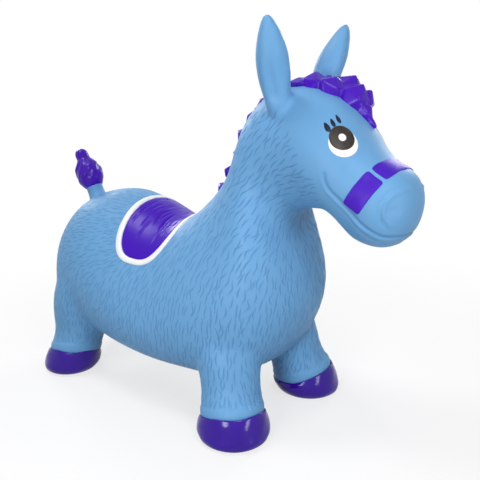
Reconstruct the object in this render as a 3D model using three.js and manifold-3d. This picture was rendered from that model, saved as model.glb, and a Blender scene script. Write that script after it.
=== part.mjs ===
// Inflatable hopper horse: a hollow vinyl skin with raised coloured zones and a push-in air plug.
// Millimetres. +X runs to the nose, +Y to the horse's left and +Z up. The hooves stand on z = 0.
import * as THREE from 'three';
import { mergeVertices } from 'three/addons/utils/BufferGeometryUtils.js';
import Module from 'manifold-3d';

const wasm = await Module();
wasm.setup();

// Skin and fits
const SKIN = 2.4; // wall of the moulded skin
const SEAM = 0.3; // gap between neighbouring pieces
const RELIEF = 1.5; // height of a coloured zone above the skin
const TURN_GAP = 0.5; // gap round a root that flexes

// Trunk sections from the rump to the muzzle. Each joins a point of the top line to a point of the
// underside, [forward, up], with its half width and how much it narrows upwards.
const TRUNK = [
  { name: 'rump', top: [-100, 260], under: [-100, 50], half: 105, taper: 0.12 },
  { name: 'loin', top: [-50, 252], under: [-45, 45], half: 104, taper: 0.28 },
  { name: 'seat', top: [6, 234], under: [14, 42], half: 102.5, taper: 0.3 },
  { name: 'withers', top: [40, 245], under: [68, 43], half: 101, taper: 0.28 },
  { name: 'shoulder', top: [68, 268], under: [120, 49], half: 98, taper: 0.3 },
  { name: 'chest', top: [89, 293], under: [171, 83], half: 89, taper: 0.35 },
  { name: 'breast', top: [103, 319], under: [201, 142], half: 76, taper: 0.25 },
  { name: 'neck', top: [113, 345], under: [197, 195], half: 63, taper: 0.1 },
  { name: 'crest', top: [126, 368], under: [183, 239], half: 56, taper: 0 },
  { name: 'throat', top: [143, 388], under: [193, 265], half: 55, taper: 0 },
  { name: 'poll', top: [168, 403], under: [221, 271], half: 57, taper: 0 },
  { name: 'forehead', top: [207, 404], under: [238, 269], half: 60, taper: 0 },
  { name: 'brow', top: [241, 388], under: [250, 261], half: 58, taper: -0.06 },
  { name: 'eye', top: [264, 367], under: [260, 250], half: 53, taper: -0.1 },
  { name: 'nose', top: [281, 346], under: [269, 243], half: 48.5, taper: -0.06 },
  { name: 'muzzle', top: [298, 329], under: [281, 240], half: 48.5, taper: 0 },
];
const SECTION_POWER = 2.2; // squareness of a section, 2 is an ellipse
const RUMP_TIP = [-207, 150]; // rearmost point of the trunk
const MUZZLE_TIP = [330, 275]; // foremost point of the trunk
const DOME_POWER = 2.3; // roundness of the two ends
const ZONES = [ // zones of the trunk skin, parted at the named sections
  { name: 'rump', from: null, to: 'loin' },
  { name: 'barrel', from: 'loin', to: 'seat' },
  { name: 'withers', from: 'seat', to: 'shoulder' },
  { name: 'chest', from: 'shoulder', to: 'breast' },
  { name: 'neck', from: 'breast', to: 'throat' },
  { name: 'head', from: 'throat', to: 'brow' },
  { name: 'muzzle', from: 'brow', to: null },
];

// Legs: sections from the ankle up, with the slope of each section to the front and to the outside.
const HOOF_HEIGHT = 27;
const FRONT_LEG = [
  { height: HOOF_HEIGHT, along: 149, across: 76, radius: 38.5, slope: [0.25, 0.17] },
  { height: 58, along: 140, across: 68, radius: 35.5, slope: [0.12, 0.08] },
  { height: 95, along: 129, across: 60, radius: 41, slope: [0, 0] },
  { height: 150, along: 108, across: 44, radius: 48, slope: [0, 0] },
];
const REAR_LEG = [
  { height: HOOF_HEIGHT, along: -149, across: 76, radius: 35.5, slope: [0.15, 0.25] },
  { height: 58, along: -142, across: 69, radius: 36, slope: [0.07, 0.12] },
  { height: 95, along: -137, across: 62, radius: 45.5, slope: [0, 0] },
  { height: 130, along: -129, across: 56, radius: 49, slope: [0, 0] },
  { height: 178, along: -112, across: 45, radius: 46, slope: [0, 0] },
];

// Hooves
const HOOF_LIP = 1.2; // step from the ankle out to the top of the hoof
const FRONT_HOOF_RADIUS = 44;
const REAR_HOOF_RADIUS = 40;
const HOOF_SPAN = 310.5; // front to rear
const HOOF_TRACK = 162; // left to right
const SOLE_EDGE = 9; // how far the rounded edge of the sole draws in
const SOLE_ROUND = 13; // height of that rounding
const SOLE_THICKNESS = 3;

// Ears: a root that flexes about a cross axis, and sections above it
const EAR_AT = [188, 41]; // forward and to the side
const EAR_SUNK = 7.2; // depth of the root's middle below the skin
const EAR_LEAN = 22.4; // degrees outwards
const EAR_TURN = 30; // degrees the cupped face looks outwards
const EAR_ROOT_RADIUS = 17;
const EAR_AIRWAY = 5; // radius of the passage into the ear
const EAR = [
  { height: 4, half: 11.5, thick: 10.5, forward: -1, cup: 0 },
  { height: 15, half: 12.5, thick: 11.5, forward: -1, cup: 1 },
  { height: 26, half: 15.5, thick: 14.2, forward: -1, cup: 3 },
  { height: 41, half: 17, thick: 18.5, forward: 0, cup: 5 },
  { height: 59, half: 16.5, thick: 17, forward: 2, cup: 3 },
  { height: 76, half: 12.5, thick: 12.5, forward: 4, cup: 1 },
  { height: 90, half: 7.5, thick: 7.5, forward: 6, cup: 0 },
  { height: 98, half: 2.5, thick: 2, forward: 7, cup: 0 },
];

// Tail
const TAIL_AT = -170;
const TAIL_SUNK = 3; // depth of the root's middle below the skin
const TAIL_LEAN = 28; // degrees backwards
const TAIL_ROOT_RADIUS = 16;
const TAIL_STEM_RADIUS = 12.5;
const TAIL_STEM_LENGTH = 24;
const TAIL_TUFT = [
  { height: 0, radius: 13.5 },
  { height: 12, radius: 18 },
  { height: 26, radius: 17 },
  { height: 37, radius: 12 },
  { height: 47, radius: 9.5 },
  { height: 55, radius: 7 },
  { height: 59, radius: 2.5 },
];
const TAIL_LOBES = 3;
const TAIL_LOBE_DEPTH = 0.13; // share of the radius
const TAIL_TWIST = 4; // degrees per millimetre

// Mane and forelock
const MANE_HEIGHT = 12;
const MANE_HALF = 15;
const MANE_SUNK = 4; // depth of its root line below the skin
const MANE_FROM = 3.9; // places along the trunk, counted in sections
const MANE_TO = 9.5;
const MANE_TUFTS = 8;
const FORELOCK_HEIGHT = 20;
const FORELOCK = [
  { along: 190, across: 0, half: 15 },
  { along: 210, across: 5, half: 21 },
  { along: 229, across: 12, half: 18 },
  { along: 246, across: 17.5, half: 13 },
  { along: 258, across: 21, half: 7.5 },
];
const FORELOCK_CLUMPS = 3;

// Saddle: an oval on the back, as a length along it and an angle round it
const SADDLE_AT = -11;
const SADDLE_HALF_LENGTH = 46.5;
const SADDLE_HALF_ANGLE = 66;
const SADDLE_POWER = 2.8;
const SADDLE_AXIS = 145; // height of the axis the angle is taken round
const SADDLE_BORDER = 8.6; // width of the white border
const SADDLE_RADIUS = 100; // distance of the skin from that axis

// Noseband: a band square to the face, parted into a bridge and two cheeks
const NOSEBAND_AT = [278, 282];
const NOSEBAND_PITCH = 30.6; // degrees that the face points down
const NOSEBAND_WIDTH = 20.8;
const NOSEBAND_REACH = 90; // beyond the skin from the middle of the head
const BRIDGE_ANGLE = 35.5; // degrees from the top to its end
const CHEEK_FROM = 40;
const CHEEK_TO = 86.4;

// Eyes
const EYE_AT = [262.3, 354];
const LEFT_EYE_SHIFT = [-1.5, -3]; // hidden behind the bridge of the nose, as in the photograph
const IRIS_RADIUS = 13.5;
const EYE_WHITE_RADIUS = 15.6;
const EYE_WHITE_DROP = 5;
const EYE_WHITE_FORWARD = 1;
const HIGHLIGHT_RADIUS = 4.4;
const LASHES = [
  { name: 'outer', at: [246.8, 363.4], length: 9, turn: 32 },
  { name: 'middle', at: [249, 367.5], length: 8, turn: 26 },
  { name: 'inner', at: [251, 371], length: 9, turn: 22 },
];
const LASH_WIDTH = 3.6;
const EYE_CUT_DEPTH = 20; // reach of an eye's outline through the skin

// Air plug in the belly
const PLUG_AT = -20;
const PLUG_RADIUS = 4.3;
const PLUG_LENGTH = 14;
const PLUG_CAP_RADIUS = 9;
const PLUG_CAP_THICKNESS = 2.2;
const PLUG_RECESS = 3;
const VALVE_SEAT_RADIUS = 14;
const VALVE_SEAT_HEIGHT = 12;

// Fineness of the surfaces
const SIDES = 24; // of the trunk outside
const AIR_SIDES = 12; // of the trunk inside
const STEPS = 2; // rings per trunk section
const DOME_RINGS = 5;
const ROUND_SIDES = 16; // of a limb outside
const SMALL_SIDES = 10; // of a limb inside and of small pieces
const BALL_RINGS = 6;
const LASH_SIDES = 8;
const OUTLINE_STEPS = 28;

const skinBlue = new THREE.MeshStandardMaterial({ color: 0x3d9fd6, roughness: 0.5, metalness: 0 });
const purple = new THREE.MeshStandardMaterial({ color: 0x4a1fb0, roughness: 0.3, metalness: 0 });
const white = new THREE.MeshStandardMaterial({ color: 0xf2f2f0, roughness: 0.4, metalness: 0 });
const dark = new THREE.MeshStandardMaterial({ color: 0x16161e, roughness: 0.35, metalness: 0 });
const plugWhite = new THREE.MeshStandardMaterial({ color: 0xe6e6e2, roughness: 0.5, metalness: 0 });

const horse = new THREE.Group();
horse.name = 'hopper_horse';
const sides = [
  { name: 'left', side: 1 },
  { name: 'right', side: -1 },
];
const radians = THREE.MathUtils.degToRad;
const { lerp } = THREE.MathUtils;
const signedPower = (value, power) => Math.sign(value) * Math.abs(value) ** power;
const range = (count, make) => Array.from({ length: count }, (_, i) => make(i));

function middleOf(ring) {
  return ring.reduce((sum, point) => sum.add(point), new THREE.Vector3()).divideScalar(ring.length);
}

// Closed surface through rings that turn anticlockwise about the way they advance.
function loft(rings) {
  const count = rings[0].length;
  const points = [...rings.flat(), middleOf(rings[0]), middleOf(rings[rings.length - 1])];
  const start = points.length - 2;
  const end = points.length - 1;
  const endRing = (rings.length - 1) * count;
  const faces = [];
  for (let j = 0; j < count; j += 1) {
    const k = (j + 1) % count;
    for (let i = 0; i < rings.length - 1; i += 1) {
      const a = i * count + j;
      const b = i * count + k;
      faces.push(a, b, a + count, b, b + count, a + count);
    }
    faces.push(start, k, j, end, endRing + j, endRing + k);
  }
  return new THREE.BufferGeometry().setFromPoints(points).setIndex(faces);
}

// The same surface moved along its normals.
function grown(geometry, distance) {
  const moved = geometry.clone();
  moved.computeVertexNormals();
  const place = moved.getAttribute('position');
  const normal = moved.getAttribute('normal');
  for (let i = 0; i < place.count; i += 1) {
    place.setXYZ(
      i,
      place.getX(i) + normal.getX(i) * distance,
      place.getY(i) + normal.getY(i) * distance,
      place.getZ(i) + normal.getZ(i) * distance,
    );
  }
  return moved;
}

function solid(geometry) {
  const bare = new THREE.BufferGeometry().setAttribute('position', geometry.getAttribute('position'));
  bare.setIndex(geometry.index);
  const whole = mergeVertices(bare, 1e-4);
  const vertProperties = whole.getAttribute('position').array;
  const triVerts = new Uint32Array(whole.index.array);
  return new wasm.Manifold(new wasm.Mesh({ numProp: 3, vertProperties, triVerts }));
}

function add(name, body, material) {
  const made = body.getMesh();
  const geometry = new THREE.BufferGeometry();
  geometry.setAttribute('position', new THREE.BufferAttribute(made.vertProperties, 3));
  geometry.setIndex(new THREE.BufferAttribute(made.triVerts, 1));
  geometry.computeVertexNormals();
  const mesh = new THREE.Mesh(geometry, material);
  mesh.name = name;
  horse.add(mesh);
}

// Cylinder along local z, placed by a frame.
function post(radius, from, to, frame, count = ROUND_SIDES) {
  const geometry = new THREE.CylinderGeometry(radius, radius, to - from, count);
  geometry.rotateX(Math.PI / 2).translate(0, 0, (from + to) / 2);
  return solid(geometry.applyMatrix4(frame));
}

// Trunk surface
const last = TRUNK.length - 1;
const topLine = new THREE.CatmullRomCurve3(TRUNK.map(({ top }) => new THREE.Vector3(top[0], 0, top[1])));
const underLine = new THREE.CatmullRomCurve3(
  TRUNK.map(({ under }) => new THREE.Vector3(under[0], 0, under[1])),
);
const breadths = new THREE.SplineCurve(TRUNK.map(({ half, taper }) => new THREE.Vector2(half, taper)));

function trunkRing(place, count) {
  const top = topLine.getPoint(place / last);
  const middle = underLine.getPoint(place / last).add(top).multiplyScalar(0.5);
  const rise = top.sub(middle);
  const { x: half, y: taper } = breadths.getPoint(place / last);
  return range(count, (j) => {
    const angle = (2 * Math.PI * j) / count;
    const up = signedPower(Math.sin(angle), 2 / SECTION_POWER);
    const out = signedPower(Math.cos(angle), 2 / SECTION_POWER);
    const point = middle.clone().addScaledVector(rise, up);
    point.y = half * out * (1 - taper * up);
    return point;
  });
}

function domeRing(base, tip, share) {
  const angle = (share * Math.PI) / 2;
  const forward = Math.sin(angle) ** (2 / DOME_POWER);
  const wide = Math.cos(angle) ** (2 / DOME_POWER);
  const middle = middleOf(base);
  const centre = middle.clone().lerp(new THREE.Vector3(tip[0], 0, tip[1]), forward);
  return base.map((point) => point.clone().sub(middle).multiplyScalar(wide).add(centre));
}

function trunkShape(count) {
  const rings = range(last * STEPS + 1, (i) => trunkRing(i / STEPS, count));
  const shares = range(DOME_RINGS - 1, (i) => (i + 1) / (DOME_RINGS - 0.35));
  const rump = shares.map((share) => domeRing(rings[0], RUMP_TIP, share)).reverse();
  const muzzle = shares.map((share) => domeRing(rings[last * STEPS], MUZZLE_TIP, share));
  return { rings, rump, muzzle, surface: loft([...rump, ...rings, ...muzzle]) };
}

const trunk = trunkShape(SIDES);
const trunkSurface = trunk.surface;
trunkSurface.computeVertexNormals();
const trunkClear = solid(grown(trunkSurface, SEAM));
const trunkAir = solid(grown(trunkShape(AIR_SIDES).surface, -SKIN));
const paintLayer = solid(grown(trunkSurface, RELIEF)).subtract(trunkClear);
const trunkMesh = new THREE.Mesh(trunkSurface);

// Point of the trunk that a straight line from far off meets first, with the skin's normal there.
const FAR = 600;
function meet(from, way) {
  const [hit] = new THREE.Raycaster(from, way).intersectObject(trunkMesh);
  return { point: hit.point, normal: hit.normal.clone().normalize() };
}
const fromSide = (x, z, side) => meet(new THREE.Vector3(x, side * FAR, z), new THREE.Vector3(0, -side, 0));
const fromAbove = (x, y) => meet(new THREE.Vector3(x, y, FAR), new THREE.Vector3(0, 0, -1));
const fromBelow = (x, y) => meet(new THREE.Vector3(x, y, -FAR), new THREE.Vector3(0, 0, 1));

// Frame on the skin: local z is its normal and local y runs up the skin.
function skinFrame({ point, normal }) {
  const up = new THREE.Vector3(0, 0, 1).addScaledVector(normal, -normal.z).normalize();
  const across = new THREE.Vector3().crossVectors(up, normal);
  return new THREE.Matrix4().makeBasis(across, up, normal).setPosition(point);
}

// Part of the trunk between two of its sections, drawn back by half a seam at each parted end.
function trunkPart(from, to) {
  const ringOf = (section) => TRUNK.findIndex(({ name }) => name === section) * STEPS;
  const first = from === null ? 0 : ringOf(from);
  const final = to === null ? last * STEPS : ringOf(to);
  const rings = trunk.rings.slice(first, final + 1).map((ring) => ring.map((point) => point.clone()));
  const drawBack = (ring, way) => {
    const across = ring[0].clone().sub(ring[SIDES / 2]);
    const upwards = ring[SIDES / 4].clone().sub(ring[(3 * SIDES) / 4]);
    const forward = across.cross(upwards).normalize();
    ring.forEach((point) => point.addScaledVector(forward, (way * SEAM) / 2));
  };
  if (from !== null) drawBack(rings[0], 1);
  if (to !== null) drawBack(rings[rings.length - 1], -1);
  const rear = from === null ? trunk.rump : [];
  const front = to === null ? trunk.muzzle : [];
  return solid(loft([...rear, ...rings, ...front]));
}

// Legs and hooves
function roundRing(centre, radius, toFront, toLeft, count) {
  return range(count, (j) => {
    const angle = (2 * Math.PI * j) / count;
    const x = radius * Math.cos(angle);
    const y = radius * Math.sin(angle);
    return new THREE.Vector3(centre.x + x, centre.y + y, centre.z + x * toFront + y * toLeft);
  });
}

function legRings(sections, side, inset, sidesOfRing) {
  const path = new THREE.CatmullRomCurve3(
    sections.map(({ along, across, height }) => new THREE.Vector3(along, across * side, height)),
  );
  const shape = new THREE.CatmullRomCurve3(
    sections.map(({ radius, slope }) => new THREE.Vector3(radius, slope[0], slope[1] * side)),
  );
  const count = (sections.length - 1) * 2;
  return range(count + 1, (i) => {
    const { x: radius, y: toFront, z: toLeft } = shape.getPoint(i / count);
    return roundRing(path.getPoint(i / count), radius - inset, toFront, toLeft, sidesOfRing);
  });
}

function hoofRings(ankle, radius, side, { inset, floor, lift, count }) {
  const sole = new THREE.Vector3((Math.sign(ankle.along) * HOOF_SPAN) / 2, (side * HOOF_TRACK) / 2, 0);
  const top = new THREE.Vector3(ankle.along, ankle.across * side, HOOF_HEIGHT - SEAM + lift);
  const topRadius = ankle.radius + HOOF_LIP;
  const edge = range(4, (i) => {
    const angle = (i * Math.PI) / 6;
    const height = SOLE_ROUND * (1 - Math.cos(angle));
    return { height, radius: radius - SOLE_EDGE * (1 - Math.sin(angle)) };
  });
  const waist = { height: (SOLE_ROUND + top.z) / 2, radius: (radius + topRadius) / 2 };
  const crown = { height: top.z, radius: topRadius };
  return [...edge, waist, crown].map((step) => {
    const height = Math.max(step.height, floor);
    const share = Math.max(0, (height - SOLE_ROUND) / (top.z - SOLE_ROUND));
    const centre = sole.clone().lerp(top, height / top.z);
    const toFront = ankle.slope[0] * share;
    const toLeft = ankle.slope[1] * side * share;
    return roundRing(centre, step.radius - inset, toFront, toLeft, count);
  });
}

const limbs = [
  { end: 'front', sections: FRONT_LEG, radius: FRONT_HOOF_RADIUS },
  { end: 'rear', sections: REAR_LEG, radius: REAR_HOOF_RADIUS },
];
const legAir = [];
for (const { end, sections, radius } of limbs) {
  for (const { name, side } of sides) {
    const outer = solid(loft(legRings(sections, side, 0, ROUND_SIDES)));
    const innerRings = legRings(sections, side, SKIN, SMALL_SIDES);
    const opening = innerRings[0].map((point) => point.clone().setZ(point.z - SKIN));
    const hollow = solid(loft([opening, ...innerRings]));
    legAir.push(hollow);
    add(`leg_${end}_${name}`, outer.subtract(trunkClear).subtract(hollow), skinBlue);
    const outside = { inset: 0, floor: 0, lift: 0, count: ROUND_SIDES };
    const inside = { inset: SKIN + HOOF_LIP, floor: SOLE_THICKNESS, lift: SKIN, count: SMALL_SIDES };
    const cup = solid(loft(hoofRings(sections[0], radius, side, outside)));
    const hollowRings = hoofRings(sections[0], radius, side, inside);
    add(`hoof_${end}_${name}`, cup.subtract(solid(loft(hollowRings.slice(1)))), purple);
  }
}

// Ears, each on a root that turns about a cross axis
function earFrame(side) {
  const { point } = fromAbove(EAR_AT[0], EAR_AT[1] * side);
  const lean = new THREE.Matrix4().makeRotationX(-side * radians(EAR_LEAN));
  return lean.setPosition(point.setZ(point.z - EAR_SUNK));
}

function earRings(side, inset, sidesOfRing) {
  const path = new THREE.CatmullRomCurve3(
    EAR.map(({ height, forward, cup }) => new THREE.Vector3(height, forward, cup)),
  );
  const size = new THREE.SplineCurve(EAR.map(({ half, thick }) => new THREE.Vector2(half, thick)));
  const count = EAR.length + 2;
  const turn = side * radians(EAR_TURN);
  return range(count + 1, (i) => {
    const { x: height, y: forward, z: cup } = path.getPoint(i / count);
    const { x: half, y: thick } = size.getPoint(i / count);
    return range(sidesOfRing, (j) => {
      const angle = (2 * Math.PI * j) / sidesOfRing;
      const front = Math.max(0, Math.cos(angle));
      const x = (thick - inset) * Math.cos(angle) - cup * front ** 3;
      const y = (half - inset) * Math.sin(angle);
      return new THREE.Vector3(
        forward + x * Math.cos(turn) - y * Math.sin(turn),
        x * Math.sin(turn) + y * Math.cos(turn),
        height,
      );
    });
  });
}

const ball = (radius, frame) =>
  solid(new THREE.SphereGeometry(radius, ROUND_SIDES, BALL_RINGS).applyMatrix4(frame));
const earSeats = [];
const earSockets = [];
for (const { name, side } of sides) {
  const frame = earFrame(side);
  const blade = solid(loft(earRings(side, 0, ROUND_SIDES)).applyMatrix4(frame));
  const airway = post(EAR_AIRWAY, -EAR_ROOT_RADIUS - SKIN * 3, EAR[2].height, frame, SMALL_SIDES);
  const hollow = solid(loft(earRings(side, SKIN, SMALL_SIDES).slice(2, -1)).applyMatrix4(frame));
  const ear = blade.add(ball(EAR_ROOT_RADIUS, frame));
  add(`ear_${name}`, ear.subtract(hollow).subtract(airway), skinBlue);
  earSockets.push(ball(EAR_ROOT_RADIUS + TURN_GAP, frame).add(airway));
  earSeats.push(ball(EAR_ROOT_RADIUS + TURN_GAP + SKIN, frame));
}

// Tail: a stub on a round root, and the twisted tuft
const tailRoot = fromAbove(TAIL_AT, 0).point;
const tailFrame = new THREE.Matrix4().makeRotationY(-radians(TAIL_LEAN));
tailFrame.setPosition(tailRoot.setZ(tailRoot.z - TAIL_SUNK));
const stub = post(TAIL_STEM_RADIUS, 0, TAIL_STEM_LENGTH, tailFrame);
add('tail_stem', ball(TAIL_ROOT_RADIUS, tailFrame).add(stub), skinBlue);

function tuftRings() {
  const sizes = TAIL_TUFT.map(({ height, radius }) => new THREE.Vector2(height, radius));
  const path = new THREE.SplineCurve(sizes);
  const count = TAIL_TUFT.length + 2;
  return range(count + 1, (i) => {
    const { x: height, y: radius } = path.getPoint(i / count);
    return range(ROUND_SIDES, (j) => {
      const angle = (2 * Math.PI * j) / ROUND_SIDES;
      const wave = Math.cos(TAIL_LOBES * (angle - radians(TAIL_TWIST * height)));
      const reach = radius * (1 + TAIL_LOBE_DEPTH * wave);
      const above = TAIL_STEM_LENGTH + SEAM + height;
      return new THREE.Vector3(reach * Math.cos(angle), reach * Math.sin(angle), above);
    });
  });
}
add('tail_tuft', solid(loft(tuftRings()).applyMatrix4(tailFrame)), purple);

// Trunk skin, hollow, with thick seats under the ears, the tail and the air plug
const bellyFrame = new THREE.Matrix4().setPosition(fromBelow(PLUG_AT, 0).point);
const bore = post(PLUG_RADIUS + SEAM, -VALVE_SEAT_HEIGHT, 2 * VALVE_SEAT_HEIGHT, bellyFrame);
const recess = post(PLUG_CAP_RADIUS + TURN_GAP, -VALVE_SEAT_HEIGHT, PLUG_RECESS, bellyFrame);
const plugBore = bore.add(recess);
const valveSeat = post(VALVE_SEAT_RADIUS, 0, VALVE_SEAT_HEIGHT, bellyFrame);
const tailSocket = ball(TAIL_ROOT_RADIUS + TURN_GAP, tailFrame);
const tailSeat = ball(TAIL_ROOT_RADIUS + TURN_GAP + SKIN, tailFrame);
let air = trunkAir.subtract(tailSeat).subtract(valveSeat);
for (const seat of earSeats) air = air.subtract(seat);
const cuts = [air, tailSocket, plugBore, ...earSockets, ...legAir];
for (const { name, from, to } of ZONES) {
  const zone = cuts.reduce((body, cut) => body.subtract(cut), trunkPart(from, to));
  add(`${name}_skin`, zone, skinBlue);
}

// Air plug
const plugProfile = [
  [0, -SEAM - PLUG_CAP_THICKNESS],
  [PLUG_CAP_RADIUS - PLUG_CAP_THICKNESS / 2, -SEAM - PLUG_CAP_THICKNESS],
  [PLUG_CAP_RADIUS, -SEAM - PLUG_CAP_THICKNESS / 2],
  [PLUG_CAP_RADIUS, -SEAM],
  [PLUG_RADIUS, -SEAM],
  [PLUG_RADIUS, PLUG_LENGTH - PLUG_RADIUS / 2],
  [PLUG_RADIUS / 2, PLUG_LENGTH],
  [0, PLUG_LENGTH],
].map(([radius, height]) => new THREE.Vector2(radius, height));
const plug = new THREE.LatheGeometry(plugProfile, ROUND_SIDES).rotateX(Math.PI / 2);
add('air_plug', solid(plug.translate(0, 0, PLUG_RECESS).applyMatrix4(bellyFrame)), plugWhite);

// Mane along the neck
function maneRing(share) {
  const place = lerp(MANE_FROM, MANE_TO, share) / last;
  const top = topLine.getPoint(place);
  const outward = top.clone().sub(underLine.getPoint(place)).normalize();
  const ends = Math.sqrt(Math.sin(Math.PI * lerp(0.04, 0.96, share)));
  const tuft = 0.7 + 0.3 * Math.abs(Math.sin(Math.PI * MANE_TUFTS * share));
  const rise = MANE_SUNK + MANE_HEIGHT * ends * tuft;
  return range(SMALL_SIDES, (j) => {
    const angle = (2 * Math.PI * j) / SMALL_SIDES;
    const point = top.clone().addScaledVector(outward, rise * Math.sin(angle) - MANE_SUNK);
    point.y = MANE_HALF * ends * Math.cos(angle);
    return point;
  });
}
const maneSteps = MANE_TUFTS * 3;
const mane = solid(loft(range(maneSteps + 1, (i) => maneRing(i / maneSteps))));
add('mane', mane.subtract(trunkClear), purple);

// Forelock swept over the forehead
function forelockRings() {
  const path = new THREE.CatmullRomCurve3(
    FORELOCK.map(({ along, across, half }) => new THREE.Vector3(along, across, half)),
  );
  const count = FORELOCK_CLUMPS * 4;
  return range(count + 1, (i) => {
    const { x, y, z: half } = path.getPoint(i / count);
    const { point, normal } = fromAbove(x, y);
    const across = new THREE.Vector3(0, 1, 0).addScaledVector(normal, -normal.y).normalize();
    const clump = 0.6 + 0.4 * Math.abs(Math.sin((Math.PI * FORELOCK_CLUMPS * i) / count));
    const rise = MANE_SUNK + FORELOCK_HEIGHT * clump;
    return range(SMALL_SIDES, (j) => {
      const angle = (2 * Math.PI * j) / SMALL_SIDES;
      const up = rise * Math.sin(angle) - MANE_SUNK;
      return point.clone().addScaledVector(normal, up).addScaledVector(across, half * Math.cos(angle));
    });
  });
}
add('forelock', solid(loft(forelockRings())).subtract(trunkClear), purple);

// Saddle
function saddleCutter(inset) {
  const outline = range(OUTLINE_STEPS, (i) => {
    const angle = (-2 * Math.PI * i) / OUTLINE_STEPS;
    const halfAngle = radians(SADDLE_HALF_ANGLE) - inset / SADDLE_RADIUS;
    return {
      along: (SADDLE_HALF_LENGTH - inset) * signedPower(Math.cos(angle), 2 / SADDLE_POWER),
      round: halfAngle * signedPower(Math.sin(angle), 2 / SADDLE_POWER),
    };
  });
  const ring = (share, radius) =>
    outline.map(({ along, round }) => {
      const y = radius * Math.sin(round * share);
      const z = SADDLE_AXIS + radius * Math.cos(round * share);
      return new THREE.Vector3(SADDLE_AT + along * share, y, z);
    });
  const shares = [0.1, 0.4, 0.7, 1];
  const outside = shares.map((share) => ring(share, SADDLE_RADIUS * 1.5));
  const inside = shares.map((share) => ring(share, SADDLE_RADIUS * 0.7)).reverse();
  return solid(loft([...outside, ...inside]));
}
add('saddle_panel', paintLayer.intersect(saddleCutter(SADDLE_BORDER)), purple);
const saddleFrame = saddleCutter(0).subtract(saddleCutter(SADDLE_BORDER - SEAM));
add('saddle_border', paintLayer.intersect(saddleFrame), white);

// Noseband
function bandCutter(from, to) {
  const slice = new THREE.Shape().moveTo(0, 0);
  for (const share of [0, 0.25, 0.5, 0.75, 1]) {
    const angle = radians(lerp(from, to, share));
    slice.lineTo(NOSEBAND_REACH * Math.cos(angle), NOSEBAND_REACH * Math.sin(angle));
  }
  const geometry = new THREE.ExtrudeGeometry(slice, { depth: NOSEBAND_WIDTH, bevelEnabled: false });
  const pitch = radians(NOSEBAND_PITCH);
  const face = new THREE.Vector3(Math.cos(pitch), 0, -Math.sin(pitch));
  const up = new THREE.Vector3(Math.sin(pitch), 0, Math.cos(pitch));
  const frame = new THREE.Matrix4().makeBasis(up, face.clone().cross(up), face);
  const start = new THREE.Vector3(NOSEBAND_AT[0], 0, NOSEBAND_AT[1]);
  frame.setPosition(start.addScaledVector(face, -NOSEBAND_WIDTH / 2));
  return solid(geometry.applyMatrix4(frame));
}
add('noseband_bridge', paintLayer.intersect(bandCutter(-BRIDGE_ANGLE, BRIDGE_ANGLE)), purple);
add('noseband_cheek_right', paintLayer.intersect(bandCutter(CHEEK_FROM, CHEEK_TO)), purple);
add('noseband_cheek_left', paintLayer.intersect(bandCutter(-CHEEK_TO, -CHEEK_FROM)), purple);

// Eyes and lashes
const eyePost = (radius, frame, count) => post(radius, -EYE_CUT_DEPTH, EYE_CUT_DEPTH, frame, count);
for (const { name, side } of sides) {
  const [shiftX, shiftZ] = side > 0 ? LEFT_EYE_SHIFT : [0, 0];
  const onFace = ([x, z]) => skinFrame(fromSide(x + shiftX, z + shiftZ, side));
  const eye = onFace(EYE_AT);
  const whiteShift = new THREE.Matrix4().makeTranslation(-side * EYE_WHITE_FORWARD, -EYE_WHITE_DROP, 0);
  const lower = eye.clone().multiply(whiteShift);
  const crescent = eyePost(EYE_WHITE_RADIUS, lower).subtract(eyePost(IRIS_RADIUS + SEAM, eye));
  const iris = eyePost(IRIS_RADIUS, eye).subtract(eyePost(HIGHLIGHT_RADIUS + SEAM, eye, SMALL_SIDES));
  add(`eye_white_${name}`, paintLayer.intersect(crescent), white);
  add(`iris_${name}`, paintLayer.intersect(iris), dark);
  add(`eye_highlight_${name}`, paintLayer.intersect(eyePost(HIGHLIGHT_RADIUS, eye, SMALL_SIDES)), white);
  for (const lash of LASHES) {
    const frame = onFace(lash.at);
    frame.multiply(new THREE.Matrix4().makeRotationZ(-side * radians(lash.turn)));
    frame.multiply(new THREE.Matrix4().makeScale(LASH_WIDTH / 2, lash.length / 2, 1));
    add(`lash_${lash.name}_${name}`, paintLayer.intersect(eyePost(1, frame, LASH_SIDES)), dark);
  }
}

// The part's origin is the middle of its footprint.
const bounds = new THREE.Box3().setFromObject(horse);
horse.position.x = -(bounds.min.x + bounds.max.x) / 2;

export default horse;
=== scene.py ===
"""Inflatable hopper horse: one moulded blue vinyl skin with raised, painted zones.

Shapes are in millimetres, forward, to the horse's left and up. at() turns them into the part's metres.
"""
import math

import bmesh
import bpy
import numpy as np
from mathutils import Matrix, Vector
from mathutils.bvhtree import BVHTree
from mathutils.kdtree import KDTree


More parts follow.
